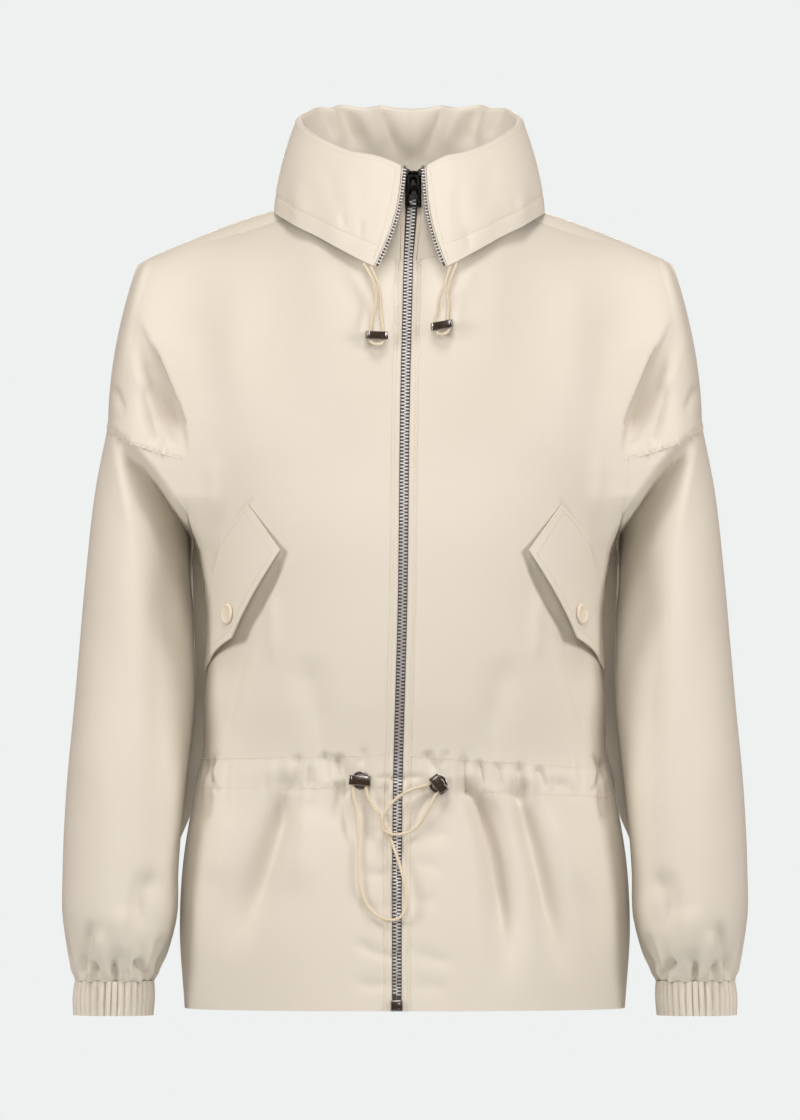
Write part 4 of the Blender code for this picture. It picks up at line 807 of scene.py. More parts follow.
def softened(at, values, corner):
    """Values along a row, smoothed about its corner and unchanged at the row's ends."""
    weights = window(at[:, None] - at, YOKE_SOFTNESS) * np.gradient(at)
    smooth = weights @ values / weights.sum(axis=1, keepdims=True)
    blend = window(at - corner, 2 * YOKE_SOFTNESS) * ramp(0, YOKE_SOFTNESS, np.minimum(at, 1 - at))
    return values + (smooth - values) * blend[:, None]


def softly_lower(first, second):
    """The lower of two depths, rounded where they meet."""
    return -DRAPE_BLEND * np.logaddexp(-first / DRAPE_BLEND, -second / DRAPE_BLEND)


def at_rows(sizes, py):
    """A table's columns at rows of the photograph, straight between its own rows."""
    return {name: np.interp(py, sizes["row"], values) for name, values in sizes.items()}


def beyond_line(line, softness, px, py):
    """How far inside a line each place lies, from 0 to 1, and the hollow outside it."""
    row = at_rows(line, py)
    inside = ramp(-softness, softness, px - row["edge"])
    sunk = ramp(0, HOLLOW_SPAN, (px - row["hollow_from"]) / (row["edge"] - row["hollow_from"]))
    return inside, row["hollow"] * sunk * (1 - inside)


def draped(grid, side):
    """Draws the front cloth straight from chest to arm, and sinks it beyond the lines that end it there."""
    px, py = photo_place(mirror(grid, -side))
    taut = at_rows(TAUT, py)
    depth = grid[..., 1]
    straight = taut["arm"] + (taut["chest"] - taut["arm"]) * (px - ARM_PX) / (CHEST_PX - ARM_PX)
    by_chest, chest_hollow = beyond_line(CHEST_LINE, CHEST_EDGE, px, py)
    by_arm, arm_hollow = beyond_line(ARM_LINE, ARM_EDGE, px, py)
    inside = (by_chest + (by_arm - by_chest) * taut["lower"]) * ramp(-TAUT_END, -CHEST_PX, -px)
    forward = (softly_lower(depth, straight) - depth) * taut["share"] * inside
    moved = grid.copy()
    moved[..., 1] += (forward + chest_hollow + arm_hollow) * ramp(0, FRONT_REACH, -depth)
    return moved


def lean(points, fade=LEAN_FADE):
    """Moves the front closure sideways, fading out towards the side seams."""
    moved = points.copy()
    moved[..., 0] += read(LEAN, "x", points[..., 2]) * window(points[..., 0], fade) * (points[..., 1] < 0)
    return moved


# Sheets of cloth
class Sheet:
    """A grid of cloth points with the directions out of the cloth, on which trims and stitches are placed."""

    def __init__(self, points, outward):
        self.points = points
        self.outward = outward

    def raised(self, lift):
        return Sheet(self.points + self.outward * lift[..., None], self.outward)

    def line(self, rows, columns, off=0.0):
        """Points and outward directions along a line of fractional rows and columns."""
        rows, columns = np.broadcast_arrays(np.asarray(rows, float), np.asarray(columns, float))
        outward = unit(blend_grid(self.outward, rows, columns))
        return blend_grid(self.points, rows, columns) + outward * off, outward


def blend_grid(grid, rows, columns):
    """Values of a grid between its points."""
    r = np.clip(rows.astype(int), 0, grid.shape[0] - 2)
    c = np.clip(columns.astype(int), 0, grid.shape[1] - 2)
    u, v = (rows - r)[:, None], (columns - c)[:, None]
    upper = grid[r, c] * (1 - v) + grid[r, c + 1] * v
    lower = grid[r + 1, c] * (1 - v) + grid[r + 1, c + 1] * v
    return upper * (1 - u) + lower * u


def grid_outward(grid, guess):
    """Directions square to a grid of points, on the side that guess mostly points to."""
    square = unit(np.cross(np.gradient(grid, axis=0), np.gradient(grid, axis=1)))
    return square * np.sign(np.sum(square * guess))


def unrolled(grid):
    """Distances across and down a grid of cloth, in metres."""
    across = np.cumsum(np.linalg.norm(np.diff(grid, axis=1, prepend=grid[:, :1]), axis=-1), axis=1)
    down = np.cumsum(np.linalg.norm(np.diff(grid, axis=0, prepend=grid[:1]), axis=-1), axis=0)
    return np.stack([across, down], axis=-1)


def block_mesh(name, points, blocks):
    """Mesh over blocks of point numbers, each with the unrolled places of its corners."""
    faces, flats = [], []
    for numbers, flat in blocks:
        faces.append(np.stack([numbers[corner] for corner in CORNERS], axis=-1).reshape(-1, 4))
        flats.append(np.stack([flat[corner] for corner in CORNERS], axis=2).reshape(-1, 2))
    mesh = bpy.data.meshes.new(name)
    mesh.from_pydata(points.tolist(), [], np.concatenate(faces).tolist())
    layer = mesh.uv_layers.new(name="flat")
    layer.uv.foreach_set("vector", np.concatenate(flats).astype(np.float32).ravel())
    mesh.shade_smooth()
    return mesh


def grid_numbers(rows, columns, start=0):
    return start + np.arange(rows * columns).reshape(rows, columns)


def grid_mesh(name, grid, closed=False):
    """Mesh of one grid. A closed one joins its last column to its first."""
    numbers = grid_numbers(*grid.shape[:2])
    if closed:
        numbers = np.concatenate([numbers, numbers[:, :1]], axis=1)
    flat = unrolled(grid.reshape(-1, 3)[numbers])
    return block_mesh(name, grid.reshape(-1, 3), [(numbers, flat)])


def add_object(name, data):
    made = bpy.data.objects.new(name, data)
    bpy.context.scene.collection.objects.link(made)
    return made


def add_piece(name, data, finish, node=None, body="coat"):
    """A finished piece that rides on its body and stands for its node."""
    piece = add_object(name, data)
    piece.data.materials.append(MATERIALS[finish])
    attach(piece, body)
    if node:
        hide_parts(node)
    return piece


def add_shell(name, mesh, thickness, finish="cloth"):
    """A thin shell that stands for the node of its name."""
    return add_walled("cloth_" + name, mesh, thickness, finish, name)


def add_walled(name, mesh, thickness, finish, node=None):
    """A piece with its sheet thickened both ways and its rims kept crisp."""
    piece = add_piece(name, mesh, finish, node)
    wall = piece.modifiers.new("wall", "SOLIDIFY")
    wall.thickness = thickness
    wall.offset = 0
    walled = bpy.data.meshes.new_from_object(piece.evaluated_get(bpy.context.evaluated_depsgraph_get()))
    walled.set_sharp_from_angle(angle=math.radians(EDGE_ANGLE))
    piece.modifiers.remove(wall)
    piece.data = walled
    return piece


def add_cloth(kind, mesh, word="", thickness=CLOTH):
    """A shell of cloth that stands for the node of its name."""
    name = f"{kind}_{word}" if word else kind
    add_shell(name, mesh, thickness)


# Fronts and back
def lapped(grid, side):
    """Adds the columns that lap over the zip tape, and raises those beside them to meet it."""
    edge = grid[:, :1]
    beside = np.linalg.norm(grid - edge, axis=-1)
    raised = grid.copy()
    raised[..., 1] -= LAP_RISE * ramp(0, 1, 1 - beside / LAP_REACH)
    for distance in ZIP_STITCHES:
        raised[..., 1] += STITCH_SINK * window(beside - distance, STITCH_SINK_REACH)
    added = [edge + np.array((-side * inward, -out, 0)) for inward, out in LAP]
    return np.concatenate([*added, raised], axis=1)


def panel_grids(face, side):
    """Grids of a half panel: the yoke with its shoulder cap, and the body below the chest line."""
    shares = TORSO_SHARES[face]
    at = np.concatenate([shares * TORSO_AT, TORSO_AT + CAP_SHARES[face] * (1 - TORSO_AT)])
    yoke = yoke_rows(face, at, YOKE_SHARES)
    body = np.array([torso_points(shares * torso_length(z, face), z, face) for z in BODY_Z])
    grids = [lean(mirror(grid, side)) for grid in (yoke, body)]
    return [lapped(draped(grid, side), side) for grid in grids] if face < 0 else grids


def panel_sheets(face, side, creases):
    """Creased sheets of a half panel: the torso part, and the shoulder cap with its first column on it."""
    yoke, body = panel_grids(face, side)
    columns = body.shape[1]
    yoke_out, body_out = (grid_outward(grid, np.array((0, face, 0))) for grid in (yoke, body))
    yoke_out[-1, :columns] = body_out[0] = unit(yoke_out[-1, :columns] + body_out[0])
    if face > 0:
        yoke_out[:, 0, 0] = body_out[:, 0, 0] = 0
    torso_out = np.concatenate([yoke_out[:, :columns], body_out[1:]])
    torso = Sheet(np.concatenate([yoke[:, :columns], body[1:]]), torso_out)
    cap = Sheet(yoke[:, columns - 1:], yoke_out[:, columns - 1:])
    torso, cap = (sheet.raised(sum(crease_height(part, *photo_place(sheet.points)) for part in creases))
                  for sheet in (torso, cap))
    return [torso, cap.raised(seam_ripples(cap.points))]


def seam_ripples(points):
    """Ripples of a shoulder cap where it is sewn to the sleeve, along its last row, uneven in depth."""
    along = lengths_along(points[-1])
    wave = 2 * math.pi * along / RIPPLE_PITCH
    uneven = GATHER_MEAN + GATHER_SWING * np.sin(GATHER_PACE * wave + GATHER_START)
    ends = ramp(0, RIPPLE_FADE, np.minimum(along, along[-1] - along))
    away = np.linalg.norm(points - points[-1], axis=-1)
    return RIPPLE_DEPTH * uneven * ends * (1 + np.cos(wave)) * window(away, RIPPLE_REACH)


def mirrored_creases(creases):
    """The same creases on the other side of the picture."""
    turned = dict(creases)
    for name in ("x0", "x1", "x2"):
        turned[name] = 2 * ORIGIN_PX - creases[name]
    return turned


def front_sheets(side):
    if side > 0:
        return panel_sheets(-1, side, (mirrored_creases(PAIRED_CREASES), RIGHT_CREASES))
    return panel_sheets(-1, side, (PAIRED_CREASES, LEFT_CREASES))


def panel_mesh(name, torso, cap):
    """Mesh of a half panel, with the cap joined to the torso part."""
    rows, columns = torso.points.shape[:2]
    cap_rows, cap_columns = cap.points.shape[:2]
    numbers = grid_numbers(rows, columns)
    added = grid_numbers(cap_rows, cap_columns - 1, rows * columns)
    joined = np.concatenate([numbers[:cap_rows, -1:], added], axis=1)
    points = np.concatenate([torso.points.reshape(-1, 3), cap.points[:, 1:].reshape(-1, 3)])
    blocks = [(numbers, unrolled(torso.points)), (joined, unrolled(cap.points) + np.array((CAP_ASIDE, 0)))]
    return block_mesh(name, points, blocks)


def back_mesh(halves):
    """Mesh of the whole back: its two halves share the centre column."""
    mesh = bpy.data.meshes.new("back")
    bm = bmesh.new()
    for torso, cap in halves:
        bm.from_mesh(panel_mesh("half_back", torso, cap))
    bmesh.ops.remove_doubles(bm, verts=bm.verts, dist=WELD)
    bmesh.ops.recalc_face_normals(bm, faces=bm.faces)
    bm.to_mesh(mesh)
    bm.free()
    return mesh


# Sleeves and cuffs
def armhole_point(turn):
    """Point of the armhole seam at one turn of the sleeve, from outside (0) by the front to inside (1)."""
    face = -1 if turn <= 1 else 1
    half = min(turn, 2 - turn)
    if half <= VALLEY_TURN:
        at = 1 - (1 - TORSO_AT) * half / VALLEY_TURN
        return armhole_row(face, np.array([at]))[0]
    z = ARMHOLE_Z + (UNDERARM_Z - ARMHOLE_Z) * (half - VALLEY_TURN) / (1 - VALLEY_TURN)
    return torso_points(np.array([torso_length(z, face)]), z, face)[0]


def sleeve_rings(turn):
    """Points of all sleeve rings at one turn: rounded ovals about the arm's line, top to bottom."""
    angle = math.pi * turn
    across, deep = math.cos(angle), math.sin(angle)
    wide = math.copysign(abs(across) ** SLEEVE_ROUNDNESS, across)
    forward = math.copysign(abs(deep) ** SLEEVE_ROUNDNESS, deep)
    behind = TUCK_PEAK * max(-across, 0) * max(-deep, 0) ** TUCK_SHARPNESS
    return np.stack([
        SLEEVE["x"] + SLEEVE["half_width"] * wide - SLEEVE["tuck"] * behind,
        SLEEVE["y"] - SLEEVE["half_depth"] * forward,
        SLEEVE["z"] + SLEEVE["tilt"] * across,
    ], axis=-1)[::-1]


def sleeve_column(turn):
    """Points down one column of the sleeve, from the armhole to the cuff."""
    guide = np.concatenate([[armhole_point(turn)], sleeve_rings(turn)])
    along = lengths_along(guide)
    return spline(along, guide, SLEEVE_SHARES * along[-1])


def sleeve_sheet(side):
    """Creased sheet of a sleeve, closed round the arm."""
    grid = draped(mirror(np.stack([sleeve_column(turn) for turn in SLEEVE_TURNS], axis=1), side), side)
    ringed = np.concatenate([grid[:, -1:], grid, grid[:, :1]], axis=1)
    centre = grid.mean(axis=1, keepdims=True)
    outward = grid_outward(ringed, ringed - centre)[:, 1:-1]
    px, py = photo_place(mirror(grid, -side))
    facing = ramp(*SLEEVE_FRONT, -outward[..., 1])
    lift = crease_height(SLEEVE_CREASES, px, py) * facing
    lift += crease_height(SLEEVE_BACK_CREASES, px, py) * (1 - facing)
    seam = ramp(0, SLEEVE_SEAM_FADE, SLEEVE_SHARES)[:, None]
    end = np.clip((1 - SLEEVE_SHARES) / SLEEVE_END_FADE, SLEEVE_END_SHARE, 1)[:, None]
    gathers = np.cos(math.pi * SLEEVE_GATHERS * SLEEVE_TURNS) * SLEEVE_GATHER_DEPTH
    near_cuff = window(grid[..., 2] - CUFF_TOP_Z, SLEEVE_GATHER_REACH)
    return Sheet(grid, outward).raised((lift * seam + gathers * near_cuff) * end)


def cuff_ring(turn, grow, z):
    """Points of an oval round the wrist, grown outwards by grow."""
    share = (z - CUFF_LOW_Z) / (CUFF_TOP_Z - CUFF_LOW_Z)
    x = CUFF_CENTRE[0] - CUFF_LEAN * share + (CUFF_HALF_SIZE[0] + grow) * np.cos(math.pi * turn)
    y = CUFF_CENTRE[1] - (CUFF_HALF_SIZE[1] + grow) * np.sin(math.pi * turn)
    return np.stack([x, y, np.broadcast_to(z, x.shape)], axis=-1)


def cuff_gathers(turn):
    """Gathers round the cuff, from -1 in the valleys to 1, uneven in width and depth."""
    phase = math.pi * CUFF_GATHERS * turn
    for shift, pace, start in CUFF_DRIFTS:
        phase = phase + shift * np.sin(pace * math.pi * turn + start)
    uneven = CUFF_MEAN + CUFF_SWING * np.sin(CUFF_PACE * math.pi * turn + CUFF_START)
    return (2 * np.abs(np.sin(phase / 2)) ** CUFF_SHARPNESS - 1) * uneven


def cuff_grid(side):
    """Closed wall of an elastic cuff: gathered outside, rounded at the hem and plainer inside."""
    turn = np.linspace(0, 2, CUFF_GATHERS * CUFF_COLUMNS, endpoint=False)
    gathers = cuff_gathers(turn) * CUFF_GATHER_DEPTH
    down = np.linspace(0, 1, CUFF_ROWS)
    heights = CUFF_TOP_Z + (CUFF_LOW_Z - CUFF_TOP_Z) * down
    rows = []
    for share, z in zip(down, heights):
        middle = math.sin(math.pi * min(share * CUFF_MIDDLE_PACE, 1))
        swell = CUFF_SWELL["top"] + CUFF_SWELL["middle"] * middle + CUFF_SWELL["hem"] * share
        rows.append(cuff_ring(turn, gathers * swell, z))
    for z in heights[::-CUFF_INSIDE_STEP]:
        rows.append(cuff_ring(turn, gathers * CUFF_SWELL["inside"] - CUFF_WALL, z))
    return mirror(np.array(rows + rows[:1]), side)


# Collar
def neck_points(at):
    """Neckline of the body at places round the half collar."""
    front = top_points(-1, "x y z", np.clip(at * 2, 0, 1) * NECK_AT)
    back = top_points(1, "x y z", np.clip(2 - at * 2, 0, 1) * NECK_AT)
    return np.where((at <= 0.5)[:, None], front, back)


def collar_rows(at):
    """Rows of the half collar: up the stand, over the fold and down the leaf to its puckered edge."""
    neck = neck_points(at)
    fold, edge = read_points(COLLAR_FOLD, "x y z", at), read_points(COLLAR_LEAF, "x y z", at)
    out = unit((edge - neck) * np.array((1, 1, 0)))
    out[0] = (0, -1, 0)
    up = np.array((0, 0, 1.0))
    puckers = COLLAR_PUCKER_DEPTH * np.sin(2 * math.pi * COLLAR_PUCKERS * at)[:, None] * out
    inside, outside = fold - FOLD_RADIUS * out, fold + FOLD_RADIUS * out
    rows = [neck + (inside - neck) * share for share in STAND_SHARES]
    rows += [fold + FOLD_RADIUS * (up * math.sin(angle) - out * math.cos(angle)) for angle in FOLD_ANGLES]
    for share in LEAF_SHARES:
        pucker_share = window(share - PUCKER_AT, PUCKER_REACH)
        groove = CHANNEL_GROOVE * window(share - PUCKER_AT, CHANNEL_REACH)
        bulge = (LEAF_BULGE * math.sin(math.pi * share) - groove) * out + puckers * pucker_share
        flare = LEAF_FLARE * math.sin(math.pi * share) * window(at, FLARE_REACH)
        rows.append(outside + (edge - outside) * share + bulge + flare[:, None] * np.array((1, 0, 0)))
    return rows


def collar_grid():
    """Grid of the whole collar, from the left front edge round the back to the right."""
    rows = []
    half = collar_rows(COLLAR_ATS)
    shifts = np.minimum(np.arange(len(half)) / (len(STAND_SHARES) - 1), 1)
    for row, shift in zip(half, shifts):
        whole = np.concatenate([row, mirror(row[:-1][::-1], -1)])
        whole[:, 0] += COLLAR_SHIFT * shift
        rows.append(lean(whole, COLLAR_LEAN_FADE))
    return np.array(rows)


def collar_sheet():
    """Creased sheet of the collar. Its outer side is the leaf's, so it faces the neck inside the stand."""
    grid = collar_grid()
    leaf = len(STAND_SHARES) + len(FOLD_ANGLES)
    centre = grid.mean(axis=(0, 1))
    guess = np.zeros_like(grid)
    guess[leaf:] = (grid[leaf:] - centre) * np.array((1, 1, 0))
    outward = grid_outward(grid, guess)
    px, py = photo_place(grid)
    rows = np.arange(len(grid))[:, None]
    lift = crease_height(LEAF_CREASES, px, py) * ((rows >= leaf) & (grid[..., 1] < 0))
    return Sheet(grid + stand_folds(grid, outward), outward).raised(lift)


def stand_folds(grid, outward):
    """Moves of the folds inside the back of the stand. The cloth turned over above them follows."""
    top = len(STAND_SHARES) - 1
    stand = grid[:top + 1]
    height = crease_height(STAND_CREASES, *photo_place(stand)) * ramp(0, STAND_DEPTH, stand[..., 1])
    over = 1 - ramp(0, FOLD_CARRY, np.arange(1, len(grid) - top))[:, None]
    height = np.concatenate([height, height[top] * over])[..., None]
    above = np.repeat(outward[top:top + 1], len(grid) - top - 1, axis=0)
    towards_neck = np.concatenate([outward[:top + 1], above])
    rise = ramp(top - FOLD_CARRY / 2, top, np.arange(len(grid)))[:, None, None]
    return height * (towards_neck + rise * np.array((0, 0, -FOLD_PEAK)))


# Pocket flaps
def flap_sheet(side):
    """Sheet of a pocket flap over the front, lifted along its free edge."""
    across, z = FLAP_CORNERS["across"], FLAP_CORNERS["z"]
    corner = [np.array(pair) for pair in zip(across, z)]
    along = np.linspace(0, 1, FLAP_COLUMNS + 1)[:, None]
    sewn = corner[0] + (corner[1] - corner[0]) * along
    to_point = corner[2] + (corner[3] - corner[2]) * along / FLAP_POINT
    from_point = corner[3] + (corner[4] - corner[3]) * (along - FLAP_POINT) / (1 - FLAP_POINT)
    free = np.where(along < FLAP_POINT, to_point, from_point)
    open_share = np.sin(math.pi * np.clip(along[:, 0] + FLAP_START, 0, 1))
    grid = []
    for share in np.linspace(0, 1, FLAP_ROWS + 1):
        flat = sewn + (free - sewn) * share
        lift = FLAP_BASE + FLAP_LIFT * share**FLAP_CURL * open_share
        grid.append([torso_points(np.array([a]), h, -1, rise)[0] for (a, h), rise in zip(flat, lift)])
    grid = lean(mirror(np.array(grid), side))
    return Sheet(grid, grid_outward(grid, np.array((side, -1, 0))))


# Stitching
def stitch_shape():
    """Points and faces of one stitch: a short thread along Z, pointed at both ends."""
    corners = [(STITCH_RADIUS * x, STITCH_RADIUS * y) for x, y in ((1, 0), (0, 1), (-1, 0), (0, -1))]
    half, shoulder = STITCH_LENGTH / 2, STITCH_LENGTH * STITCH_SHOULDER
    points = [(x, y, z) for z in (-shoulder, shoulder) for x, y in corners]
    points += [(0, 0, -half), (0, 0, half)]
    faces = []
    for k in range(4):
        n = (k + 1) % 4
        faces += [(k, n, 4 + n, 4 + k), (n, k, 8), (4 + k, 4 + n, 9)]
    return np.array(points), faces


def places(at, along, values):
    """Values at distances along a line of points."""
    return np.stack([np.interp(at, along, column) for column in values.T], axis=-1)


def spaced(points, outward, pitch, start=0.0):
    """Places at even steps along a line, with the directions along it and out of it."""
    along = lengths_along(points)
    at = np.arange(start + pitch / 2, along[-1], pitch)
    forward = unit(places(at + pitch / 2, along, points) - places(at - pitch / 2, along, points))
    out = places(at, along, outward)
    out = unit(out - forward * np.sum(out * forward, axis=-1, keepdims=True))
    return places(at, along, points), forward, out


def copies(shape, where, forward, out):
    """Points and faces of one shape set along a line: its Z forward, its Y out and its X to the side."""
    points, faces = shape
    axes = np.stack([np.cross(out, forward), out, forward], axis=1)
    starts = range(0, len(where) * len(points), len(points))
    numbers = [tuple(corner + start for corner in face) for start in starts for face in faces]
    return (where[:, None] + points @ axes).reshape(-1, 3), numbers


def joined_mesh(name, parts):
    """One mesh of several lists of points and faces."""
    points, faces, start = [], [], 0
    for part_points, part_faces in parts:
        points.append(part_points)
        faces += [tuple(corner + start for corner in face) for face in part_faces]
        start += len(part_points)
    mesh = bpy.data.meshes.new(name)
    mesh.from_pydata(np.concatenate(points).tolist(), [], faces)
    return mesh


def waist_line(torso, ends, first=0):
    """Line across a panel from its centre to the side seam, from one height to another."""
    columns = np.arange(first, torso.points.shape[1])
    heights = np.linspace(*ends, len(columns))
    levels = len(YOKE_SHARES) - 1 + np.interp(-heights, -BODY_Z, np.arange(len(BODY_Z)))
    return torso.line(levels, columns, CLOTH / 2)


def armhole_line(cap):
    """Line along the edge of a shoulder cap, beside the armhole seam."""
    rows, columns = cap.points.shape[:2]
    return cap.line(rows - 1 - ARMHOLE_INSET, np.arange(columns), CLOTH / 2)


def front_lines(torso, cap, side):
    """Lines on a front: beside the zip, along the waist channel and beside the armhole."""
    lap = len(LAP)
    beside = np.linalg.norm(torso.points - torso.points[:, lap:lap + 1], axis=-1)[:, lap:]
    lines = []
    for distance in ZIP_STITCHES:
        columns = [lap + np.interp(distance, away, np.arange(len(away))) for away in beside]
        lines.append(torso.line(np.arange(len(beside)), columns, CLOTH / 2))
    lines += [waist_line(torso, ends, lap) for ends in WAIST_ROWS[side]]
    return lines + [armhole_line(cap)]


def back_lines(torso, cap):
    """Lines on a half back: along the waist channel and beside the armhole."""
    return [waist_line(torso, (z, z)) for z in BACK_WAIST_ROWS] + [armhole_line(cap)]


def collar_lines(collar):
    """Lines on the leaf: along its channel and down both front edges."""
    rows, columns = collar.points.shape[:2]
    leaf = len(STAND_SHARES) + len(FOLD_ANGLES)
    channel = leaf + PUCKER_AT * (len(LEAF_SHARES) - 1)
    lines = [collar.line(channel, np.arange(SEWN_INSET, columns - SEWN_INSET), DOUBLE_CLOTH / 2)]
    for edge in (LEAF_INSET, columns - 1 - LEAF_INSET):
        lines.append(collar.line(np.arange(leaf, rows - SEWN_INSET), edge, DOUBLE_CLOTH / 2))
    return lines


def flap_lines(flap):
    """Lines on a flap: along its sewn edge, its free edge and its upper side."""
    last = FLAP_COLUMNS - 1
    return [
        flap.line(SEWN_INSET, np.arange(SEWN_INSET, last), DOUBLE_CLOTH / 2),
        flap.line(FLAP_ROWS - FREE_INSET, np.arange(FREE_INSET, last), DOUBLE_CLOTH / 2),
        flap.line(np.arange(SEWN_INSET, FLAP_ROWS - SEWN_INSET), FREE_INSET, DOUBLE_CLOTH / 2),
    ]


def stitching_mesh(fronts, backs, collar, flaps):
    """All rows of stitches in one mesh."""
    lines = [line for side, sheets in fronts.items() for line in front_lines(*sheets, side)]
    lines += [line for sheets in backs for line in back_lines(*sheets)]
    lines += collar_lines(collar)
    lines += [line for flap in flaps.values() for line in flap_lines(flap)]
    shape = stitch_shape()
    mesh = joined_mesh("stitching", [copies(shape, *spaced(*line, STITCH_PITCH)) for line in lines])
    mesh.shade_smooth()
    return mesh


# Zip
def zip_edges(fronts, collar):
    """Line of each front edge up the panel, and up the stand, over the fold and down the leaf."""
    seat = np.array((0, LAP_RISE, 0))
    panels = {side: torso.points[::-1, len(LAP)] + seat for side, (torso, cap) in fronts.items()}
    stands = {1: collar.points[:, 0], -1: collar.points[:, -1]}
    return panels, stands


def tape_grid(panels, stands, side):
    """Zip tape beside one front edge: it meets its twin at the centre up to the slider and parts above."""
    edge = np.concatenate([panels[side], stands[side]])
    twin = np.concatenate([panels[-side], stands[-side]])
    outer = edge - np.array((side * TAPE_GAP, 0, 0))
    closed_rows = len(panels[side]) + len(STAND_SHARES) - 1
    parted = ramp(closed_rows - PARTING_ROWS, closed_rows + PARTING_ROWS, np.arange(len(edge)))
    inner = outer.copy()
    inner[:, 0] = (edge[:, 0] + twin[:, 0]) / 2 * (1 - parted) + (outer[:, 0] - side * TAPE_WIDTH) * parted
    inner[:, 0] += side * CENTRE_GAP
    return np.stack([outer + (inner - outer) * share for share in np.linspace(0, 1, TAPE_COLUMNS)], axis=1)


def leaf_outward(collar, side):
    """Directions out of the collar along one of its front edges."""
    return collar.outward[:, 0 if side > 0 else -1]


def painted_shade_edge_grid(tape, collar, side):
    """Corded edge of a zip tape, on which the teeth are clamped: a strip of its own in a near-black finish,
    which is painted shade between the teeth, for the real cord has the tape's colour.
    """
    painted_shade_edge = tape[:, SHADE_EDGE_FIRST:].copy()
    on_panel = len(painted_shade_edge) - len(collar.points)
    turned = on_panel + len(STAND_SHARES)
    painted_shade_edge[:turned, :, 1] -= SHADE_EDGE_RISE
    painted_shade_edge[turned:] += SHADE_EDGE_RISE * leaf_outward(collar, side)[len(STAND_SHARES):, None]
    return painted_shade_edge


def tooth_shape():
    """Points and faces of one zip tooth: X towards the tip, Y out and Z along the zip."""
    flat = 1 - TOOTH_BEVEL
    ring = ((1, flat), (flat, 1), (-flat, 1), (-1, flat), (-1, -flat), (-flat, -1), (flat, -1), (1, -flat))
    points = [(reach, thick * y, high * z) for reach, high, thick in TOOTH_SECTIONS for y, z in ring]
    count, last = len(ring), len(points) - len(ring)
    faces = [tuple(range(count))[::-1], tuple(range(last, last + count))]
    for first in range(0, last, count):
        for k in range(count):
            n = (k + 1) % count
            faces.append((first + k, first + n, first + count + n, first + count + k))
    return np.array(points), faces


def teeth_along(line, outward, side, start=0.0):
    """Teeth on one side of a line, pointing to the zip's other side."""
    where, forward, out = spaced(line, outward, TOOTH_PITCH, start)
    if np.sum(np.cross(out, forward)[:, 0]) * side > 0:
        forward = -forward
    return copies(tooth_shape(), where, forward, out)


def chain_mesh(panels, stands, collar):
    """All teeth: the closed chain up to the slider, and the parted ones down both edges of the leaf."""
    closed = [np.concatenate([panels[side], stands[side][:len(STAND_SHARES)]]) for side in SIDES.values()]
    centre = sum(closed) / 2
    centre = centre[(centre[:, 2] > HEM_Z + CHAIN_FOOT) & (centre[:, 2] < CHAIN_TOP_Z)]
    out = np.broadcast_to((0, -1.0, 0), centre.shape)
    parts = [teeth_along(centre, out, 1), teeth_along(centre, out, -1, TOOTH_PITCH / 2)]
    parted = slice(len(STAND_SHARES) + PARTED_FIRST, -1)
    for side in SIDES.values():
        line = stands[side] - np.array((side * (TAPE_GAP + TAPE_WIDTH), 0, 0))
        parts.append(teeth_along(line[parted], leaf_outward(collar, side)[parted], side))
    return joined_mesh("teeth", parts)


# Shapes of fittings
def shaped_mesh(name, build, angle=SHARP_ANGLE):
    """Mesh made by a function that fills a bmesh, smooth but for edges sharper than the angle."""
    mesh = bpy.data.meshes.new(name)
    bm = bmesh.new()
    build(bm)
    bmesh.ops.recalc_face_normals(bm, faces=bm.faces)
    bm.to_mesh(mesh)
    bm.free()
    mesh.shade_smooth()
    mesh.set_sharp_from_angle(angle=math.radians(angle))
    return mesh


def round_angles(count):
    return np.linspace(0, 2 * math.pi, count, endpoint=False)


def rounded_box(bm, size, radius, place=Matrix.Identity(4)):
    """Adds a box with rounded edges."""
    made = bmesh.ops.create_cube(bm, size=1, matrix=place @ Matrix.Diagonal((*size, 1)))
    edges = {edge for vert in made["verts"] for edge in vert.link_edges}
    bmesh.ops.bevel(bm, geom=list(edges), offset=radius, segments=4, profile=0.5, affect="EDGES")


def tube(bm, sections, closed=False):
    """Adds a tube through rings of points, closed into a loop or capped at its ends."""
    rings = [[bm.verts.new(point) for point in ring] for ring in sections]
    pairs = list(zip(rings[:-1], rings[1:])) + ([(rings[-1], rings[0])] if closed else [])
    for upper, lower in pairs:
        for k in range(len(upper)):
            n = (k + 1) % len(upper)
            bm.faces.new((upper[k], upper[n], lower[n], lower[k]))
    if not closed:
        bm.faces.new(rings[0])
        bm.faces.new(rings[-1])


def lathe(bm, profile):
    """Adds a round body about Z from a profile of radius and height."""
    angles = round_angles(LATHE_SIDES)
    tube(bm, [[(r * math.cos(a), r * math.sin(a), z) for a in angles] for r, z in profile])


def rounded_loop(size, radius, centre=(0, 0), taper=1.0):
    """Points of a rounded rectangle, with its top narrower or wider than its foot by taper."""
    loop = []
    for turn, (sx, sy) in enumerate(((1, 1), (-1, 1), (-1, -1), (1, -1))):
        wide = size[0] / 2 * (taper if sy > 0 else 1)
        corner = np.array((sx * (wide - radius), sy * (size[1] / 2 - radius)))
        for angle in np.radians(np.linspace(0, 90, CORNER_STEPS) + 90 * turn):
            loop.append(corner + radius * np.array((math.cos(angle), math.sin(angle))) + centre)
    return loop


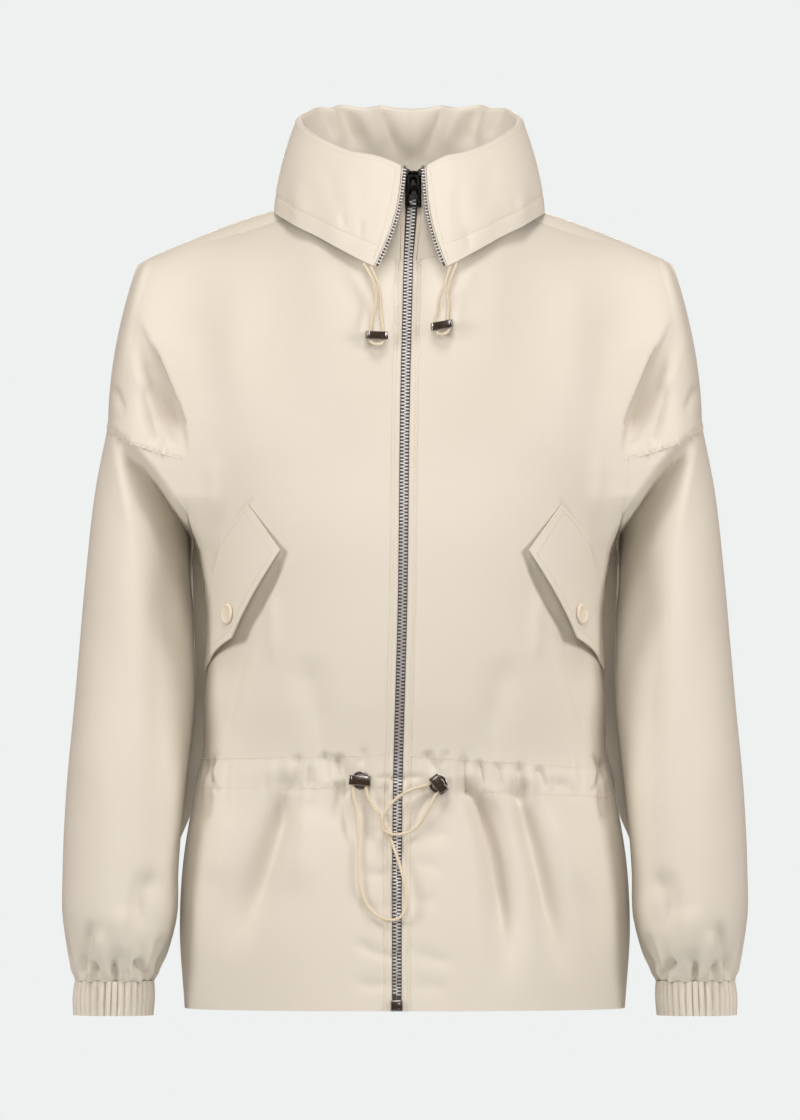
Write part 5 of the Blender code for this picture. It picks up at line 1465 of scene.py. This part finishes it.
def plate(bm, loops, depth, bevel, place=Matrix.Identity(4)):
    """Adds a plate in the XY plane with rounded rims. Its first loop is the outline, the others are holes."""
    curve = bpy.data.curves.new("plate", "CURVE")
    curve.dimensions = "2D"
    curve.fill_mode = "BOTH"
    curve.extrude = depth / 2 - bevel
    curve.bevel_depth = bevel
    curve.bevel_resolution = 2
    curve.offset = -bevel
    for loop in loops:
        path = curve.splines.new("POLY")
        path.points.add(len(loop) - 1)
        path.use_cyclic_u = True
        for point, (x, y) in zip(path.points, loop):
            point.co = (x, y, 0, 1)
    holder = bpy.data.objects.new("plate", curve)
    bpy.context.scene.collection.objects.link(holder)
    mesh = bpy.data.meshes.new_from_object(holder.evaluated_get(bpy.context.evaluated_depsgraph_get()))
    mesh.transform(place)
    bm.from_mesh(mesh)
    bmesh.ops.remove_doubles(bm, verts=bm.verts, dist=WELD)
    bpy.data.objects.remove(holder)
    bpy.data.curves.remove(curve)
    bpy.data.meshes.remove(mesh)


def at_point(x, y, z):
    return Matrix.Translation(Vector((x, y, z)))


def set_piece(name, mesh, finish, place, body="coat"):
    """A fitting in place, riding on its body and standing for the node of its name."""
    mesh.transform(place)
    return add_piece("fitting_" + name, mesh, finish, name, body)


# Fittings of the zip
def slider_frame(collar):
    """Place of the slider's middle, at the top of the closed zip, leaning back with the stand."""
    foot, top = ((collar[k, 0] + collar[k, -1]) / 2 for k in (0, len(STAND_SHARES) - 1))
    x, y, z = foot + (top - foot) * (SLIDER_Z - foot[2]) / (top[2] - foot[2])
    leaning = Matrix.Rotation(-math.atan2(top[1] - foot[1], top[2] - foot[2]), 4, "X")
    return at_point(x, y, z) @ leaning @ at_point(0, SLIDER_SEAT - SLIDER_SIZE[1] / 2, 0)


def bail_rings():
    """Rings of the half loop of wire that holds the pull."""
    section = round_angles(WIRE_SIDES)
    reach, thick = BAIL_RADIUS + BAIL_WIRE * np.sin(section), BAIL_WIDTH * BAIL_WIRE * np.cos(section)
    rings = []
    for angle in np.linspace(-BAIL_HALF_TURN, BAIL_HALF_TURN, BAIL_RINGS):
        y = -SLIDER_SIZE[1] / 2 - PIVOT_OUT - reach * math.cos(angle)
        rings.append(np.stack([thick, y, PIVOT_UP + reach * math.sin(angle)], axis=-1))
    return rings


def slider_mesh():
    """Slider: a shield-shaped body, wider above, with a raised spine and the bail."""
    wide, deep, tall = SLIDER_SIZE

    def build(bm):
        outline = rounded_loop((wide * SLIDER_FOOT, tall), SLIDER_CORNER, taper=SLIDER_TAPER)
        plate(bm, [outline], deep, SLIDER_RIM, UPRIGHT)
        rounded_box(bm, SPINE_SIZE, SPINE_RIM, at_point(0, -deep / 2, 0))
        tube(bm, bail_rings())

    return shaped_mesh("slider", build)


def pull_mesh():
    """Pull tab: a plate with a slot at its crossbar, a raised frame and a window hole."""
    wide, deep, tall = PULL_SIZE

    def build(bm):
        outline = rounded_loop((wide, tall), PULL_CORNER, (0, PULL_BAR - tall / 2), PULL_TAPER)
        holes, rims = ([rounded_loop(size, radius, (0, -drop)) for size, radius, drop in loops]
                       for loops in (PULL_HOLES, PULL_FRAME))
        plate(bm, [outline, *holes], deep, PULL_RIM, UPRIGHT)
        plate(bm, rims, FRAME_DEPTH, FRAME_RIM, at_point(0, -deep / 2 - FRAME_RISE, 0) @ UPRIGHT)

    return shaped_mesh("pull", build)


def zip_box_mesh():
    """Retainer box at the foot of the zip, with two ridges on its front."""
    front = -ZIP_BOX_SIZE[1] / 2

    def build(bm):
        rounded_box(bm, ZIP_BOX_SIZE, ZIP_BOX_RIM)
        for x, z, wide, deep, tall, rim in zip(*ZIP_BOX_RIDGES.values()):
            rounded_box(bm, (wide, deep, tall), rim, at_point(x, front, z))

    return shaped_mesh("zip_box", build)


def zip_box_place(panels):
    """Place of the retainer box on the foot of the zip."""
    x, y, _ = (panels[1][0] + panels[-1][0]) / 2
    _, deep, tall = ZIP_BOX_SIZE
    return at_point(x, y - ZIP_BOX_OUT - deep / 2, HEM_Z + tall / 2 + ZIP_BOX_RISE)


def add_zip_fittings(panels, collar):
    """Slider, pull and retainer box. The pull rides on its own body."""
    slider = slider_frame(collar.points)
    pivot = slider @ at_point(0, -SLIDER_SIZE[1] / 2 - PIVOT_OUT, PIVOT_UP)
    set_piece("zip_slider", slider_mesh(), "black", slider)
    set_piece("zip_pull", pull_mesh(), "black", pivot, "pull")
    set_piece("zip_box", zip_box_mesh(), "metal", zip_box_place(panels))


# Snaps, eyelets and stoppers
def add_snap(word, flap):
    """Snap near the point of a flap: a low disc with a rolled rim and a slightly sunken middle."""
    row, column = SNAP_AT
    points, outward = flap.line([FLAP_ROWS * row], [FLAP_COLUMNS * column], DOUBLE_CLOTH / 2)
    turn = Vector(outward[0]).to_track_quat("Z", "Y").to_matrix().to_4x4()
    mesh = shaped_mesh("snap", lambda bm: lathe(bm, SNAP_PROFILE), EDGE_ANGLE)
    set_piece(f"snap_{word}", mesh, "snap", at_point(*points[0]) @ turn)


def eyelet_mesh():
    """Eyelet: a ring of flattened wire in the XZ plane."""
    section = round_angles(WIRE_SIDES)
    reach = EYELET_RADIUS + EYELET_WIRE * np.cos(section)
    flat = EYELET_FLATNESS * EYELET_WIRE * np.sin(section)
    rings = [np.stack([reach * math.cos(a), flat, reach * math.sin(a)], axis=-1)
             for a in round_angles(EYELET_STEPS)]
    return shaped_mesh("eyelet", lambda bm: tube(bm, rings, closed=True))


def stopper_mesh(wide, deep, tall):
    """Cord stopper: a rounded block with two holes and a flange at each end."""
    radius = CORD_HOLE / 2
    body = wide * STOPPER_BODY[0], deep * STOPPER_BODY[1]

    def build(bm):
        holes = [[(x + radius * math.cos(a), radius * math.sin(a)) for a in round_angles(HOLE_SIDES)]
                 for x in (-HOLE_SPACING / 2, HOLE_SPACING / 2)]
        plate(bm, [rounded_loop(body, STOPPER_CORNER), *holes], tall, STOPPER_RIM)
        for end in (-1, 1):
            rounded_box(bm, (FLANGE, deep, tall), FLANGE_RIM, at_point(end * (wide - FLANGE) / 2, 0, 0))

    return shaped_mesh("stopper", build)


# Cords
class Chest:
    """The front cloth as seen from the front, to stand cords and stoppers off it."""

    def __init__(self, fronts):
        points = np.concatenate([torso.points.reshape(-1, 3) for torso, cap in fronts.values()])
        self.points = points[np.abs(points[:, 0]) < CHEST_SPAN]

    def depth(self, x, z):
        """Depth of the cloth at a place, from the points nearest to it."""
        away = np.hypot(self.points[:, 0] - x, self.points[:, 2] - z)
        near = np.argpartition(away, NEAR_POINTS)[:NEAR_POINTS]
        return float(np.average(self.points[near, 1], weights=1 / (away[near] + NEAR_SOFTNESS)))

    def off(self, route):
        """Points in space for places seen from the front and their stand-off."""
        return [(x, self.depth(x, z) - off / MM_PER_METRE, z) for x, z, off in route]

    def frame(self, row, off):
        """Frame that stands off the cloth at a stopper's place, with its -Y straight out of the cloth."""
        x, z = STOPPERS["x"][row], STOPPERS["z"][row]
        slope = (self.depth(x + SLOPE_STEP, z) - self.depth(x - SLOPE_STEP, z)) / (2 * SLOPE_STEP)
        turn = Matrix.Rotation(math.atan(slope), 4, "Z")
        return at_point(x, self.depth(x, z), z) @ turn @ at_point(0, -off, 0)

    def stopper(self, row):
        """Frame of a stopper, turned in its plane."""
        turn = Matrix.Rotation(math.radians(STOPPERS["turn"][row]), 4, "Y")
        return self.frame(row, STOPPERS["off"][row]) @ turn


def by_hole(place, hole, drops):
    """Points on the line of one of a stopper's holes (-1 or 1), at distances below the stopper's middle."""
    return [tuple(place @ Vector((hole * HOLE_SPACING / 2, 0, -drop))) for drop in drops]


def leaf_exit(collar, side, strand):
    """Where a strand leaves the front corner of the collar's leaf, just under its edge."""
    edge = collar.points[-1] if side > 0 else collar.points[-1][::-1]
    corner, beside = edge[0], edge[round((len(COLLAR_ATS) - 1) * LEAF_CORNER)]
    return [tuple(corner + (beside - corner) * LEAF_EXITS[strand] - np.array((0, 0, LEAF_EXIT_DROP)))]


def collar_cord_route(chest, collar, side, row):
    """Down one strand, through the stopper, round the small loop under it and up the other strand."""
    half, radius = STOPPERS["size_z"][row] / 2, HOLE_SPACING / 2
    place = chest.stopper(row)
    loop = []
    for angle in np.radians(LOOP_ANGLES):
        drop = LOOP_ROUNDNESS * radius * math.sin(angle)
        aside = side * radius * math.cos(angle)
        loop.append(tuple(place @ Vector((aside, -drop, -half - LOOP_DROP - drop))))
    through = (-half - 2 * LOOP_DROP, half + LOOP_DROP)
    outer, inner = (leaf_exit(collar, side, strand) + chest.off(COLLAR_STRANDS[side][strand])
                    for strand in ("outer", "inner"))
    return outer + by_hole(place, side, through) + loop + by_hole(place, -side, through)[::-1] + inner[::-1]


def waist_cord_route(chest, side, row):
    """Out of one hole of the waist stopper, round the hanging loop and back into the other."""
    place = chest.stopper(row)
    drops = (0, STOPPERS["size_z"][row] / 2 + 2 * LOOP_DROP)
    return by_hole(place, -1, drops) + chest.off(WAIST_LOOPS[side]) + by_hole(place, 1, drops)[::-1]


def cord_curve(name, route):
    """Round cord along a smooth curve through its route."""
    points = np.array(route)
    along = lengths_along(points)
    line = spline(along, points, np.linspace(0, along[-1], CORD_POINTS))
    curve = bpy.data.curves.new(name, "CURVE")
    curve.dimensions = "3D"
    curve.bevel_depth = CORD_DIAMETER / 2
    curve.bevel_resolution = 4
    curve.resolution_u = 6
    curve.use_fill_caps = True
    path = curve.splines.new("BEZIER")
    path.bezier_points.add(len(line) - 1)
    for point, place in zip(path.bezier_points, line):
        point.co = place
        point.handle_left_type = point.handle_right_type = "AUTO"
    return curve


def add_cord(kind, word, route):
    """A cord along its route, standing for the node of its name."""
    name = f"{kind}_cord_{word}"
    piece = add_piece("soft_" + name, cord_curve(name, route), "cord", name)


def add_cords(chest, collar):
    """The four cords with their stoppers, and the two waist eyelets."""
    for first_row, kind in ((0, "collar"), (2, "waist")):
        for word, side in SIDES.items():
            row = first_row + (1 if side > 0 else 0)
            size = [STOPPERS[f"size_{axis}"][row] for axis in "xyz"]
            stopper = set_piece(f"{kind}_stopper_{word}", stopper_mesh(*size), "metal", chest.stopper(row))
            if kind == "collar":
                route = collar_cord_route(chest, collar, side, row)
            else:
                route = waist_cord_route(chest, side, row)
                set_piece(f"waist_eyelet_{word}", eyelet_mesh(), "metal", chest.frame(row, EYELET_OFF))
            add_cord(kind, word, route)


# Materials
class Shader:
    """A procedural material under construction."""

    def __init__(self, name, values):
        self.material = bpy.data.materials.new(name)
        self.material.use_nodes = True
        self.tree = self.material.node_tree
        self.surface = self.tree.nodes["Principled BSDF"]
        self.coordinates = self.node("TexCoord").outputs
        for socket, value in values.items():
            self.surface.inputs[socket].default_value = value

    def node(self, kind, values=(), **settings):
        """A new node with its settings, its values and its links."""
        made = self.tree.nodes.new("ShaderNode" + kind)
        for name, value in settings.items():
            setattr(made, name, value)
        for socket, value in dict(values).items():
            if isinstance(value, bpy.types.NodeSocket):
                self.tree.links.new(value, made.inputs[socket])
            else:
                made.inputs[socket].default_value = value
        return made

    def into(self, socket, value):
        self.tree.links.new(value, self.surface.inputs[socket])

    def noise(self, scale, detail, roughness=0.5):
        """Soft unevenness over the object."""
        values = {"Scale": scale, "Detail": detail, "Roughness": roughness}
        return self.node("TexNoise", {"Vector": self.coordinates["Object"], **values}).outputs["Fac"]

    def total(self, first, second):
        return self.node("Math", {0: first, 1: second}, operation="ADD").outputs["Value"]

    def tints(self, factor, dark, light, low=0.3, high=0.7):
        """Colour between two tints by a factor."""
        made = self.node("ValToRGB", {"Fac": factor})
        for stop, place, colour in zip(made.color_ramp.elements, (low, high), (dark, light)):
            stop.position = place
            stop.color = (*colour, 1)
        return made.outputs["Color"]

    def bump(self, height, distance, strength, normal=None):
        """Small relief, on top of another where that is given."""
        values = {"Height": height, "Distance": distance, "Strength": strength}
        if normal:
            values["Normal"] = normal
        return self.node("Bump", values).outputs["Normal"]


def woven(name, dark, light, thread, roughness, crumple):
    """Woven cloth: fine threads both ways, soft small crumples and a slight unevenness of colour."""
    shader = Shader(name, {"Roughness": roughness, "Specular IOR Level": 0.25, "Sheen Weight": 0.15})
    flat = shader.node("UVMap", uv_map="flat").outputs["UV"]
    threads = {"Vector": flat, "Scale": WAVE_PERIOD / thread}
    warp, weft = (shader.node("TexWave", threads, bands_direction=axis).outputs["Fac"] for axis in "XY")
    small = shader.noise(scale=55, detail=3, roughness=0.55)
    crumples = shader.bump(small, distance=0.0010, strength=crumple)
    weave = shader.bump(shader.total(warp, weft), distance=0.00006, strength=0.35, normal=crumples)
    shader.into("Normal", weave)
    shader.into("Base Color", shader.tints(shader.noise(scale=7, detail=2), dark, light))
    return shader.material


def metal(name, dark, light, roughness):
    """Polished metal with faint smudges and fine scratches."""
    shader = Shader(name, {"Metallic": 1.0})
    smudge = shader.noise(scale=420, detail=4)
    low, high = roughness
    span = shader.node("MapRange", {"Value": smudge, "To Min": low, "To Max": high}).outputs["Result"]
    shader.into("Roughness", span)
    shader.into("Base Color", shader.tints(smudge, dark, light))
    scratches = shader.noise(scale=1800, detail=2)
    shader.into("Normal", shader.bump(scratches, distance=0.00004, strength=0.2))
    return shader.material


def twisted(name, dark, light):
    """Cord of twisted yarn: slanting strands round it, its colour darker in the grooves between them as
    painted shade.
    """
    shader = Shader(name, {"Roughness": 0.7, "Specular IOR Level": 0.2, "Sheen Weight": 0.2})
    stretch = {"Vector": shader.coordinates["UV"], "Scale": (CORD_TWISTS, 1.0, 1.0)}
    along = shader.node("SeparateXYZ", {"Vector": shader.node("Mapping", stretch).outputs["Vector"]}).outputs
    lay = shader.node("CombineXYZ", {"X": shader.total(along["X"], along["Y"])}).outputs["Vector"]
    strands = shader.node("TexWave", {"Vector": lay, "Scale": 2 * WAVE_PERIOD}).outputs["Fac"]
    # Painted shade: the colour darkens in the grooves of the same strands' relief
    shader.into("Base Color", shader.tints(strands, dark, light, low=0.0, high=0.6))
    shader.into("Normal", shader.bump(strands, distance=0.0003, strength=0.8))
    return shader.material


def painted(name, dark, light):
    """Satin paint with faint unevenness."""
    shader = Shader(name, {"Roughness": 0.42, "Specular IOR Level": 0.45})
    speck = shader.noise(scale=300, detail=3)
    shader.into("Base Color", shader.tints(speck, dark, light))
    shader.into("Normal", shader.bump(speck, distance=0.00008, strength=0.25))
    return shader.material


def plain(name, dark, light):
    """Matt pale floor with faint mottling."""
    shader = Shader(name, {"Roughness": 0.9})
    shader.into("Base Color", shader.tints(shader.noise(scale=3, detail=3), dark, light))
    return shader.material


def all_materials():
    """Every finish by its name."""
    made = {name: woven(name, *values) for name, values in WOVEN.items()}
    made |= {name: metal(name, *values) for name, values in METALS.items()}
    made["cord"] = twisted("cord", *CORD_AND_GROOVE_SHADE_TINTS)
    made["snap"] = painted("snap", *SNAP_TINTS)
    made["floor"] = plain("floor", *FLOOR_TINTS)
    return made


MATERIALS = all_materials()


# Camera, light and floor
def camera():
    """The photograph's level camera, straight in front and far away."""
    data = bpy.data.cameras.new("camera")
    eye = add_object("camera", data)
    x = (PHOTO_SIZE[0] / 2 - ORIGIN_PX) * PIXEL
    z = (ORIGIN_PY - PHOTO_SIZE[1] / 2) * PIXEL
    eye.location = (x, -CAMERA_DISTANCE, z)
    eye.rotation_euler = (RIGHT_ANGLE, 0, 0)
    data.lens = data.sensor_width * CAMERA_DISTANCE / (PHOTO_SIZE[1] * PIXEL)
    data.clip_end = 4 * CAMERA_DISTANCE
    bpy.context.scene.camera = eye


def lights():
    """Large soft lights in front, above, at both sides and behind."""
    for name, (place, target, size, power) in LIGHTS.items():
        data = bpy.data.lights.new(name, "AREA")
        data.shape = "DISK"
        data.size = size
        data.energy = power
        lamp = add_object(name, data)
        lamp.location = place
        lamp.rotation_euler = (Vector(target) - Vector(place)).to_track_quat("-Z", "Y").to_euler()


def backdrop():
    """Even pale surroundings: one shade to be seen, and a dimmer one that lights the coat."""
    world = bpy.data.worlds.new("studio")
    bpy.context.scene.world = world
    world.use_nodes = True
    nodes, links = world.node_tree.nodes, world.node_tree.links
    lit = nodes["Background"]
    lit.inputs["Color"].default_value = (*AMBIENT, 1)
    lit.inputs["Strength"].default_value = AMBIENT_STRENGTH
    seen = nodes.new("ShaderNodeBackground")
    seen.inputs["Color"].default_value = (*BACKDROP, 1)
    chosen = nodes.new("ShaderNodeMixShader")
    rays = nodes.new("ShaderNodeLightPath")
    links.new(rays.outputs["Is Camera Ray"], chosen.inputs["Fac"])
    links.new(lit.outputs["Background"], chosen.inputs[1])
    links.new(seen.outputs["Background"], chosen.inputs[2])
    links.new(chosen.outputs["Shader"], nodes["World Output"].inputs["Surface"])
    bpy.context.scene.view_settings.view_transform = "Standard"


def floor():
    """A plain pale floor at a wearer's feet."""
    def build(bm):
        bmesh.ops.create_circle(bm, cap_ends=True, segments=96, radius=FLOOR_RADIUS)

    mesh = shaped_mesh("floor", build)
    mesh.materials.append(MATERIALS["floor"])
    disc = add_object("floor", mesh)
    disc.location = (0, 0, FLOOR_Z)


def add_side(word, front, flap, tape, collar):
    """Cloth and zip tape of one side."""
    side = SIDES[word]
    sleeve, cuff = sleeve_sheet(side).points, cuff_grid(side)
    add_cloth("front", panel_mesh("front", *front), word)
    add_cloth("sleeve", grid_mesh("sleeve", sleeve, closed=True), word)
    add_cloth("cuff", grid_mesh("cuff", cuff, closed=True), word)
    add_cloth("pocket_flap", grid_mesh("flap", flap.points), word, DOUBLE_CLOTH)
    add_shell(f"zip_tape_{word}", grid_mesh("tape", tape), TAPE, "tape")
    # Dark strip along each tape's corded edge: painted shade between the teeth
    add_walled(f"zip_painted_shade_edge_{word}", grid_mesh("painted_shade_edge", painted_shade_edge_grid(tape, collar, side)), TAPE, "painted_shade_edge")
    add_snap(word, flap)


def main():
    camera()
    lights()
    backdrop()
    floor()
    fronts = {side: front_sheets(side) for side in SIDES.values()}
    collar = collar_sheet()
    add_cords(Chest(fronts), collar)
    backs = [panel_sheets(1, side, (BACK_CREASES,)) for side in SIDES.values()]
    flaps = {side: flap_sheet(side) for side in SIDES.values()}
    panels, stands = zip_edges(fronts, collar)
    for word, side in SIDES.items():
        add_side(word, fronts[side], flaps[side], tape_grid(panels, stands, side), collar)
    add_cloth("back", back_mesh(backs))
    add_cloth("collar", grid_mesh("collar", collar.points), thickness=DOUBLE_CLOTH)
    add_piece("zip_teeth", chain_mesh(panels, stands, collar), "teeth")
    add_piece("stitching", stitching_mesh(fronts, backs, collar, flaps), "thread")
    add_zip_fittings(panels, collar)


main()
